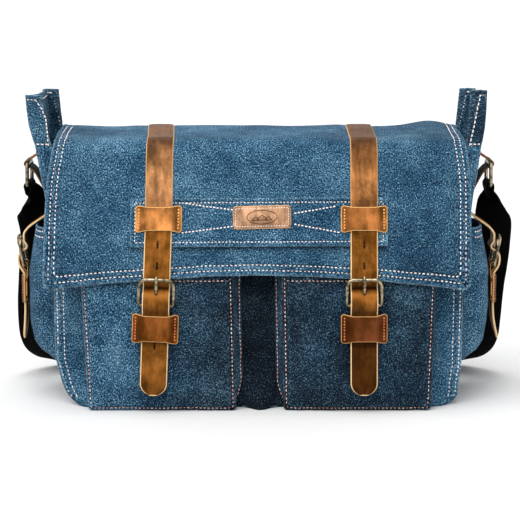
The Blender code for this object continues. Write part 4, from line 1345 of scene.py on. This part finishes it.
def make_straps(name):
    """The closure strap on the flap: one piece over the top to the upper keeper, one on to the tip."""
    route = STRAP_ROUTE[name]
    count = 110
    upper = [0.0035 + (KEEPER_SPLIT - 0.0035) * k / count for k in range(count + 1)]
    centres = [on_flap(table(route, s), s, strap_lift(s)) for s in upper]
    ribbon = Ribbon(centres, [Vector((1, 0, 0))] * len(centres), STRAP_W, STRAP_T, cup=0.0006)
    material, seed = (TAN, 1.0) if name == "left" else (CHESTNUT, 2.0)
    # painted shade on the strap's top, over the back of the flap and round the fold
    piece = ribbon.strap(name + "_strap_leather", material, seed=seed,
                         shade=lambda x, s: 0.78 * ease(FLAT + 0.050, FLAT + 0.010, s))
    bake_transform(piece)
    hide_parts(name + "_strap_top", name + "_strap")

    rig = RIGS[name]
    lower = [KEEPER_SPLIT + 0.0004 + (CLOSURE_S - 0.004 - KEEPER_SPLIT) * k / 14 for k in range(15)]
    points = []
    for s in lower:
        middle, out = flap_frame(s)
        x = table(route, s)
        still = 1 - ease(CLOSURE_S - 0.030, CLOSURE_S - 0.006, s)
        lift = strap_lift(s) + (0.0052 - ON_BAND) * (1 - still)
        points.append(middle + Vector((x, 0, 0)) + out * (lift + still * flap_sway(x, s)))
    points += tail_points(rig, 0.119, 0.006 if name == "left" else 0.004)
    smooth = smooth_route(points, 220)
    joint_z = rig.origin.z
    share = [ease(joint_z + 0.02, joint_z - 0.02, p.z) for p in smooth]
    across = [Vector((1, 0, 0)).lerp(rig.across, k) for k in share]
    ribbon = Ribbon(smooth, across, STRAP_W, STRAP_T, tip=0.0125, cup=0.0007)
    holes = [ribbon.at_height(FOLD.z - d * math.cos(FLAP_LEAN)) for d in (0.106, 0.127)]
    holes.append(ribbon.at_height(joint_z - TAIL_HOLE))
    slit = ribbon.at_height(joint_z - TAIL_SLIT)
    seed, dark = (3.0, (0.02, 0.30)) if name == "left" else (4.0, (0.16, 0.92))
    piece = slit_strap(ribbon, name + "_strap_tail_leather", BROWN, holes, slit, seed, dark)
    rig.at(0, 0, 0.007)
    rig.at(0, 0, -0.005)
    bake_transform(piece)
    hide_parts(name + "_strap_tail")


def strap_shade(below):
    """Painted shade on a strap, by distance below its slit: where it dips behind the top bar and at the lower
    keeper's edges, and a painted highlight where it bulges over the pivot bar.
    """
    dark = 1.05 * bell(below + 0.0060, 0.0042) + 0.4 * bell(below - 0.022, 0.004)
    return dark + 0.4 * bell(below - 0.054, 0.004) - 0.75 * bell(below - 0.0040, 0.0042)


def slit_strap(ribbon, name, material, holes, slit, seed, dark=(0.0, 0.0)):
    """A strap with oval holes and, where its prong comes through, a longer slit. dark is its shade at the
    slit and at the tip."""
    end = 0.0009  # the length of a cut's narrow ends
    xs = ribbon.columns(0.0004, 0.00085, 0.0015, 0.0020)
    # where each cut is, half its length, and half its width in its middle and at its ends
    cuts = [(at, 0.0045, 0.0015, 0.00085) for at in holes]
    cuts += [(slit, 0.0042, 0.0020, 0.00085), (slit + 0.0090, 0.0056, 0.0004, 0.0004)]
    fixed = sorted(at + sign * part for at, long, _, _ in cuts
                   for sign in (-1, 1) for part in (long, long - end))
    free = stations(ribbon.length, 0.0022, 0.0008, 0.0125)
    ys = sorted(fixed + [y for y in free if all(abs(y - f) > 0.0005 for f in fixed)])

    def keep(i, j):
        x, y = abs(xs[i] + xs[i + 1]) / 2, (ys[j] + ys[j + 1]) / 2
        return not any(abs(y - at) < long - end and x < wide or abs(y - at) < long and x < narrow
                       for at, long, wide, narrow in cuts)

    def shade(x, y):
        return strap_shade(y - slit) + dark[0] + (dark[1] - dark[0]) * ease(slit, slit + 0.055, y)

    # cut marks the edges of the slit and holes: painted shade there, with no pale rim
    return ribbon.sheet(name, xs, ys, material, keep, wear=0.70, seed=seed, offset=(seed * 0.37, seed * 0.61),
                        cut=lambda x, y: abs(x) < 0.0026 and y < ribbon.length - 0.002, shade=shade)


def keeper_outline(x, y):
    """A keeper is waisted over its strap, flares towards its ends, and has round corners."""
    flared = 0.87 + 0.13 * ease(0.010, 0.021, abs(x))
    return y * flared * (1 - 0.10 * ease(KEEPER_W / 2 - 0.0022, KEEPER_W / 2, abs(x)) ** 2)


def keeper_rise(x, low, high):
    return low + (high - low) * ease(0.0205, 0.0150, abs(x))


def make_keeper(name, surface, tall, material, body, node, stitches):
    def shade(x, y):
        # Painted shade where the keeper steps down off its strap, and a painted highlight left of its middle.
        steps = 0.55 * bell(abs(x) - 0.0165, 0.0032)
        return steps - 0.4 * bell(x + 0.004, 0.006) * bell(y + 0.003, 0.010)

    keeper = Cloth(surface, KEEPER_T, flip=True)
    half = KEEPER_W / 2
    xs, ys = centred(KEEPER_W, 0.0015, 0.0007, 0.004), centred(tall, 0.002, 0.0008, 0.003)
    piece = keeper.sheet(name + "_leather", xs, ys, material, seed=len(name) + tall * 50, wear=0.5,
                         offset=(len(name) * 0.11, tall * 7), shade=shade)
    place_piece(piece, body, [node])
    rows = Stitching(name + "_stitches", stitches)
    for x in (-half + 0.0032, half - 0.0032):
        rows.row(keeper.outer, [(x, -tall / 2 + 0.002), (x, tall / 2 - 0.002)], pitch=0.0031, radius=0.00082)
    place_piece(rows.finish(), body)


def make_upper_keeper(name):
    tall = 0.0255

    def surface(x, y):
        y = keeper_outline(x, y)
        s = KEEPER_SPLIT + y
        low = FLAP_STRAIGHT + BAND_RISE + KEEPER_T / 2 + 0.0002
        high = ON_BAND + STRAP_T / 2 + KEEPER_T / 2 + 0.0002
        lift = keeper_rise(x, low, high) + 0.0003 * rough(x, y, len(name), 90)
        return on_flap(table(STRAP_ROUTE[name], s) + x, s, lift)

    node, material = name + "_upper_keeper", HONEY if name == "left" else RUSSET
    make_keeper(node, surface, tall, material, "flap_front", node, AMBER)


def rounded_loop(corners, radius, steps=6):
    """A closed line through 2-D corners, each rounded."""
    corners = [Vector(c) for c in corners]
    points = []
    for before, here, after in zip(corners[-1:] + corners, corners, corners[1:] + corners[:1]):
        a = here + (before - here).normalized() * radius
        b = here + (after - here).normalized() * radius
        for k in range(steps + 1):
            t = k / steps
            points.append(a * (1 - t) ** 2 + here * 2 * t * (1 - t) + b * t**2)
    return points


def dense_loop(points, count):
    line = even([*points, points[0]], count + 1)
    return line[:-1]


TAB_W, TAB_H = 0.0425, 0.0245


def make_closure(prefix, rig, body, dark):
    """What hangs on a strap's tail: the tab behind it, the keeper, the buckle's frame and its prong."""

    def tab(x, y):
        corner = corner_inset(x, TAB_W / 2, 0.005)
        y = clamp(y, -TAB_H / 2 + corner, TAB_H / 2 - corner)
        return rig.at(x, -0.0028 + 0.0002 * rough(x, y, 4, 60), -0.0515 - y)

    surface = Cloth(tab, 0.0015, flip=True)
    xs, ys = (centred(size, 0.003, 0.001, 0.006) for size in (TAB_W, TAB_H))
    tab_piece = surface.sheet(prefix + "_closure_tab_leather", xs, ys, dark, seed=5.0)
    place_piece(tab_piece, body, [prefix + "_closure_tab"])

    wrap = [(-0.0031, -0.0420), (-0.0031, -0.0360), (-0.0031, -0.0300), (-0.0030, -0.0275),
            (-0.0020, -0.0258), (-0.0003, -0.0252), (0.0014, -0.0258), (0.0024, -0.0275), (0.0022, -0.0296),
            (0.0008, -0.0316), (-0.0012, -0.0338), (-0.0021, -0.0370), (-0.0024, -0.0415)]
    wrap = smooth_route([rig.at(0, out, up) for out, up in wrap], 56)
    loop_w = 0.0094
    for letter, side in (("a", -1), ("b", 1)):
        shifted = [p + rig.across * side * 0.0073 for p in wrap]
        loop = Ribbon(shifted, [rig.across] * len(wrap), loop_w, 0.0009, step=0.0006)
        piece = loop.sheet(f"{prefix}_pivot_loop_{letter}", centred(loop_w, 0.002, 0.001, 0.002),
                           stations(loop.length, 0.0006, 0.0006, 0.001), dark, seed=6.0)
        place_piece(piece, body)

    tall = 0.0285

    def keeper(x, y):
        y = keeper_outline(x, y)
        low, high = -0.0009, TAIL_LINE[-1][0] + STRAP_T / 2 + KEEPER_T / 2 + GAP
        return rig.at(x, keeper_rise(x, low, high) + 0.0003 * rough(x, y, len(prefix), 90), -0.0518 - y)

    make_keeper(prefix + "_lower_keeper", keeper, tall, dark, body, prefix + "_lower_keeper", RED)

    top, low = TOP_BAR[1], PIVOT_BAR[1]
    outline = [(-0.0140, top), (0.0140, top), (0.0173, top - 0.0050), (0.0172, low), (-0.0172, low),
               (-0.0173, top - 0.0050)]
    loop = dense_loop(rounded_loop(outline, 0.0030), 96)
    slope = (TOP_BAR[0] - PIVOT_BAR[0]) / (top - low)
    path = []
    for p in loop:
        arch = 0.0010 * math.sin(math.pi * clamp((p.y - low) / (top - low)))
        path.append(rig.at(p.x, PIVOT_BAR[0] + slope * (p.y - low) + arch, p.y))
    frame_piece = tube(prefix + "_buckle_wire", path, 0.0018, BRASS, 16)
    place_piece(frame_piece, prefix + "_buckle", [prefix + "_buckle_frame"])

    reach = [(0.0022, -0.0225), (0.0026, -0.0185), (0.0036, -0.0148), (0.0054, -0.0110), (0.0068, -0.0068),
             (0.0073, -0.0022), (0.0069, 0.0006), (0.0058, 0.0022)]
    eye = [(-0.0032, -0.0292), (-0.0034, -0.0278), (-0.0028, -0.0258), (-0.0010, -0.0245), (0.0012, -0.0242)]
    path = smooth_route([rig.at(0, out, up) for out, up in eye + reach], 60)
    prong = tube(prefix + "_prong_wire", path, lambda t: 0.0018 * (1 - 0.30 * ease(0.86, 1.0, t)), BRASS, 12,
                 closed=False)
    place_piece(prong, prefix + "_prong", [prefix + "_prong"])


def make_side_strap(name, side):
    rig = SIDE_RIGS[name]
    root = [(0.2172, 0.1985), (0.2174, 0.1945), (0.2218, 0.1893), (0.2300, 0.1838), (0.2385, 0.1775),
            (0.2432, 0.1715), (0.2436, 0.1675)]
    points = [Vector((side * x, 0, z)) for x, z in root]
    points += tail_points(rig, 0.106, 0.020 if side > 0 else 0.008)
    smooth = smooth_route(points, 200)
    ribbon = Ribbon(smooth, [rig.across] * len(smooth), STRAP_W, STRAP_T, tip=0.0125)
    hole, slit = (ribbon.at_height(rig.origin.z - down) for down in (TAIL_HOLE, TAIL_SLIT))
    piece = slit_strap(ribbon, name + "_side_strap_leather", BROWN, [hole], slit, 7.0 + side)
    rig.at(0, 0, 0.006)
    rig.at(0, 0, -0.005)
    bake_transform(piece)
    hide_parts(name + "_side_strap", name + "_side_strap_tail")


# ---------------------------------------------------------------- rings and the shoulder strap
def make_ring(name, side):
    bar = joint_at(name + "_ring_swing")
    outline = [(-0.0215, 0.0), (0.0215, 0.0), (0.0215, -0.023), (-0.0215, -0.023)]
    loop = dense_loop(rounded_loop(outline, 0.0055), 110)
    ring = tube(name + "_ring_wire", [bar + Vector((0, p.x, p.y)) for p in loop], 0.0020, BRASS, 16)
    place_piece(ring, name + "_ring", [name + "_strap_ring"])

    line = [(0.2240, 0.2560), (0.2262, 0.2545), (0.2320, 0.2508), (0.2368, 0.2476), (0.2398, 0.2464),
            (0.2411, 0.2442), (0.2402, 0.2417), (0.2376, 0.2406), (0.2340, 0.2390), (0.2290, 0.2330),
            (0.2245, 0.2245), (0.2195, 0.2150)]
    route = smooth_route([Vector((side * x, 0, z)) for x, z in line], 90)
    tab = Ribbon(route, [Vector((0, side, 0))] * len(route), 0.034, 0.0017, step=0.0008)
    piece = tab.strap(name + "_ring_tab_leather", BLACK_LEATHER, step=0.0015, seed=11.0 + side)
    place_piece(piece, "bag", [name + "_ring_tab"])
    rows = Stitching(name + "_ring_tab_stitches", RED)
    for x in (-0.0142, 0.0142):
        rows.row(tab.outer, [(x, 0.002), (x, 0.014)], pitch=0.0034)
    place_piece(rows.finish(), "bag")


WEB_W, WEB_T = 0.038, 0.0020
WEB_LOOP = [(0.2370, 0.2085), (0.2367, 0.2120), (0.2354, 0.2165), (0.2346, 0.2205), (0.2356, 0.2235),
            (0.2380, 0.2246), (0.2404, 0.2235), (0.2414, 0.2205), (0.2410, 0.2160)]  # x and z round the ring
WEB_ROUTE = [  # each point with how far the face is turned there, in degrees, from facing sideways
    (0.2408, 0.0008, 0.2120, 9), (0.2410, 0.0025, 0.2065, 20), (0.2413, 0.0055, 0.2005, 31),
    (0.2416, 0.0105, 0.1945, 42), (0.2420, 0.0175, 0.1875, 52), (0.2424, 0.0265, 0.1795, 60),
    (0.2428, 0.0370, 0.1695, 66), (0.2430, 0.0460, 0.1575, 70), (0.2432, 0.0530, 0.1430, 73),
    (0.2430, 0.0585, 0.1260, 75), (0.2425, 0.0640, 0.1080, 77), (0.2425, 0.0705, 0.0870, 82),
    (0.2425, 0.0780, 0.0640, 90), (0.2420, 0.0865, 0.0430, 99), (0.2380, 0.0965, 0.0260, 112),
    (0.2290, 0.1085, 0.0140, 127), (0.2110, 0.1230, 0.0075, 141), (0.1840, 0.1370, 0.0050, 154),
    (0.1540, 0.1460, 0.0045, 163), (0.1150, 0.1550, 0.0040, 171), (0.0760, 0.1600, 0.0045, 177),
    (0.0380, 0.1600, 0.0045, 180), (0.0, 0.1600, 0.0045, 180)]


def web_half(name, side, end_x, lift):
    """One half of the shoulder strap: round its ring, down the side, and along the floor to the middle."""
    points, wanted = [], []
    for x, z in WEB_LOOP:
        points.append((side * x, 0, z))
        wanted.append(Vector((0, 1, 0)))
    for x, y, z, turn in WEB_ROUTE:
        angle = math.radians(turn)
        spread = (0.0050 if side > 0 else -0.0075) * bell(z - 0.160, 0.055)
        y += 0.0125 * bell(z - 0.176, 0.026) if side < 0 else 0.0
        points.append((side * (x + spread), y, z + lift * ease(0.05, 0.03, x)))
        wanted.append(Vector((-side * math.sin(angle), math.cos(angle), 0)))
    points.append((side * end_x, 0.1600, 0.0045 + lift))
    wanted.append(Vector((0, -1, 0)))
    flat = [Vector((*p, *(w * side))) for p, w in zip(points, wanted)]
    line = smooth_route(flat, 520)
    for p in line:
        if p.y > 0.13:
            p.z = max(p.z, 0.0016)
    ribbon = Ribbon([Vector(p[:3]) for p in line], [Vector(p[3:]) for p in line], WEB_W, WEB_T, step=0.0012)
    piece = ribbon.strap(name + "_shoulder_webbing", WEBBING, step=0.0030, seed=13.0 + side, wear=0.0)
    start, end = Vector((side * 0.2512, 0.0335, 0.1600)), Vector((side * 0.2390, 0, 0.2020))
    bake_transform(piece)
    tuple(start)
    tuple(end)
    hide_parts(name + "_strap_loop", "shoulder_strap")
    rows = Stitching(name + "_webbing_stitches", BLACK_THREAD)
    for x in (-0.0155, 0.0155):
        rows.row(ribbon.outer, [(x, 0.060), (x, 0.30)], pitch=0.0050)
    sewn = rows.finish()
    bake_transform(sewn)
    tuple(start)
    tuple(end)


# ---------------------------------------------------------------- the zip on the back
def make_zip():
    low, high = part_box("back_zip_tape")
    middle_z = (low.z + high.z) / 2
    half = (high.x - low.x) / 2
    y = (low.y + high.y) / 2 + 0.0002

    def point(x, z):
        fold = 0.0008 * bell(z, 0.0035)
        return Vector((x, y + fold + 0.0002 * rough(x, z, 7, 40), middle_z + z))

    tape = Cloth(point, 0.0008, flip=True)
    xs, zs = centred(2 * half, 0.005), centred(0.025, 0.0015, 0.0010, 0.004)
    piece = tape.sheet("back_zip_cloth", xs, zs, TAPE)
    place_piece(piece, "bag", ["back_zip_tape"])
    verts, faces, cloth = [], [], []
    count, bare = 116, 0.008  # teeth on each side, and the tape without teeth at each end
    wide, deep, tall = 0.00046, 0.0010, 0.0022
    tooth = ((-1, -0.2, 0), (1, -0.2, 0), (1, 1, 0), (-1, 1, 0),
             (-0.7, -0.1, 1), (0.7, -0.1, 1), (0.7, 0.8, 1), (-0.7, 0.8, 1))
    box = [(0, 1, 2, 3), (7, 6, 5, 4), (0, 4, 5, 1), (1, 5, 6, 2), (2, 6, 7, 3), (3, 7, 4, 0)]
    for k in range(count):
        for sign in (-1, 1):
            x = -half + bare + (2 * half - 2 * bare) * (k + 0.25 * sign + 0.5) / count
            base = len(verts)
            for dx, dz, dy in tooth:
                verts.append((x + dx * wide, y + 0.0012 + dy * deep, middle_z + sign * dz * tall))
                cloth.append((x, dz * 0.002, k))
            for face in box:
                face = [base + i for i in face]
                faces.append(tuple(face if sign > 0 else face[::-1]))
    piece = mesh_piece("back_zip_teeth", verts, faces, DARK_BRASS, None, cloth, smooth=False)
    place_piece(piece, "bag")
    rows = Stitching("back_zip_stitches", PEACH)
    for z in (-0.0105, 0.0105):
        rows.row(tape.outer, [(-half + 0.003, z), (half - 0.003, z)])
    place_piece(rows.finish(), "bag")


# ---------------------------------------------------------------- build
def sew_body(front, back, gussets, pockets, side_pockets):
    rows = Stitching("body_stitches", PEACH)
    for surface, rim in ((front, RIM), (back, BACK_RIM)):
        for inset in (HEM_OUT, HEM_IN):
            half = STRAIGHT_W * EAR_SHARE - 0.004
            rows.row(surface.outer, [(-half, rim - inset), (half, rim - inset)])
        for inset in SEAM_ROWS:
            half = STRAIGHT_W - inset
            for side in (-1, 1):
                top = 0.190 if surface is front else 0.2635
                rows.row(surface.outer, [(side * half, top), (side * half, 0.008)])
        for side in (-1, 1):
            inner, outer = side * (EAR_SHARE * STRAIGHT_W + 0.0016), side * (STRAIGHT_W - 0.001)
            face = surface.outer if surface is front else surface.inner
            rows.row(face, [(inner, rim + 0.004), (inner, EAR_TOP - 0.002)])
            rows.row(face, [(inner, EAR_TOP - EAR_ROW), (outer, EAR_TOP - EAR_ROW)])
            if surface is front:
                rows.row(face, [(inner, 0.2685), (outer, 0.2685)])
    for surface in gussets:
        for y in (-GUSSET_HALF + HEM_OUT, GUSSET_HALF - HEM_OUT):
            rows.row(surface.outer, [(y, 0.06), (y, GUSSET_LENGTH - 0.004)])
        for face in (surface.outer, surface.inner):
            rows.row(face, [(-0.052, GUSSET_LENGTH - HEM_OUT), (0.052, GUSSET_LENGTH - HEM_OUT)])
    for surface in side_pockets:
        for down in MOUTH_ROWS:
            reach = SIDE_POCKET_GIRTH - 0.008
            rows.row(surface.outer, [(-reach, SIDE_POCKET_TOP - down), (reach, SIDE_POCKET_TOP - down)])
    place_piece(rows.finish(), "bag")
    rows = Stitching("pocket_stitches", ORANGE)
    for surface, width in pockets:
        left, right, low, top = POCKET_ROW, width - POCKET_ROW, POCKET_LOW + POCKET_ROW, POCKET_TOP - 0.002
        rows.row(surface.outer, [(left, top), (left, low), (right, low), (right, top)], radius=0.00066)
        for down in MOUTH_ROWS:
            rows.row(surface.outer, [(0.004, POCKET_TOP - down), (width - 0.004, POCKET_TOP - down)])
    place_piece(rows.finish(), "bag")


def sew_flap():
    rows = Stitching("flap_stitches", PEACH)
    for inset in (HEM_OUT, HEM_IN):
        half = FLAP_HALF - inset
        rows.row(FLAP.outer, u_path(half, 0.012, FLAP_LENGTH - inset, 0.006), radius=0.00084)
    piece = rows.finish()
    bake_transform(piece)


def carry_over(names, material, bevel=0.0003):
    for name in names:
        node = frame["nodes"][name]
        node.data.materials.clear()
        node.data.materials.append(material)
        edge = node.modifiers.new("edge", "BEVEL")
        edge.width, edge.segments, edge.limit_method = bevel, 2, "ANGLE"
        edge.harden_normals = False


front, back = make_panel(True), make_panel(False)
gussets = [make_gusset(name, side) for name, side in SIDES]
make_base()
make_lining()
make_divider()
pockets = [make_pocket(name) for name, _ in SIDES]
side_pockets = [make_side_pocket(name, side) for name, side in SIDES]
make_flap()
make_back_binding()
make_band()
make_label()
sew_flap()
sew_body(front, back, gussets, pockets, side_pockets)
for name, side in SIDES:
    make_straps(name)
    make_upper_keeper(name)
    make_closure(name, RIGS[name], name + "_closure", MAHOGANY if name == "left" else UMBER)
    make_side_strap(name, side)
    make_closure(name + "_side", SIDE_RIGS[name], name + "_side_closure", MAHOGANY)
    make_ring(name, side)
web_half("left", -1, -0.010, 0.0)
web_half("right", 1, -0.010, 0.0024)  # it lies on the other half's end
make_zip()
carry_over(["left_snap_base", "right_snap_base", "left_snap_cap", "right_snap_cap"], DARK_BRASS)
carry_over(["strap_adjuster", "back_zip_slider", "back_zip_puller"], BRASS)


# ---------------------------------------------------------------- floor, light and camera
def stage_material():
    material = bpy.data.materials.new("studio_white")
    material.use_nodes = True
    bsdf = material.node_tree.nodes["Principled BSDF"]
    bsdf.inputs["Base Color"].default_value = (0.70, 0.70, 0.70, 1)
    bsdf.inputs["Roughness"].default_value = 0.9
    return material


def make_stage():
    """A white floor that curves up behind."""
    verts, faces = [], []
    reach, bend_y, bend_r, wall_top = 400.0, 2.2, 1.2, 20.0
    turns = [math.radians(a) for a in range(6, 91, 6)]
    profile = [(-reach, 0.0), (bend_y, 0.0)]
    profile += [(bend_y + bend_r * math.sin(a), bend_r - bend_r * math.cos(a)) for a in turns]
    profile.append((bend_y + bend_r, wall_top))
    for y, z in profile:
        verts += [(-reach, y, z), (reach, y, z)]
    for k in range(len(profile) - 1):
        faces.append((2 * k, 2 * k + 1, 2 * k + 3, 2 * k + 2))
    floor = mesh_piece("studio_floor", verts, faces, stage_material())


def lamp(name, at, target, size, power):
    light = bpy.data.lights.new(name, "AREA")
    light.shape, light.size, light.energy = "SQUARE", size, power
    lamp_object = bpy.data.objects.new(name, light)
    lamp_object.location = at
    lamp_object.rotation_euler = (Vector(target) - Vector(at)).to_track_quat("-Z", "Y").to_euler()
    bpy.context.scene.collection.objects.link(lamp_object)


def sun(name, towards, strength, softness):
    light = bpy.data.lights.new(name, "SUN")
    light.energy, light.angle = strength, math.radians(softness)
    lamp_object = bpy.data.objects.new(name, light)
    lamp_object.rotation_euler = Vector(towards).to_track_quat("Z", "Y").to_euler()
    bpy.context.scene.collection.objects.link(lamp_object)


def make_camera():
    data = bpy.data.cameras.new("camera")
    data.lens, data.sensor_width = 138.5, 36
    camera = bpy.data.objects.new("camera", data)
    target, distance, elevation = Vector((0.001, -0.088, 0.155)), 2.0, math.radians(9)
    camera.location = target + Vector((0, -math.cos(elevation), math.sin(elevation))) * distance
    camera.rotation_euler = (target - camera.location).to_track_quat("-Z", "Y").to_euler()
    bpy.context.scene.collection.objects.link(camera)
    bpy.context.scene.camera = camera


make_stage()
sun("key", (-0.42, -0.78, 1.12), 2.9, 60)
sun("overhead", (-0.05, 0.08, 1.0), 0.9, 26)
lamp("fill", (1.8, -1.5, 0.9), (0, 0, 0.12), 1.6, 5)
world = bpy.data.worlds.new("studio")
world.use_nodes = True
world.node_tree.nodes["Background"].inputs["Color"].default_value = (1, 1, 1, 1)
world.node_tree.nodes["Background"].inputs["Strength"].default_value = 0.48
bpy.context.scene.world = world
bpy.context.scene.view_settings.view_transform = "Standard"
make_camera()
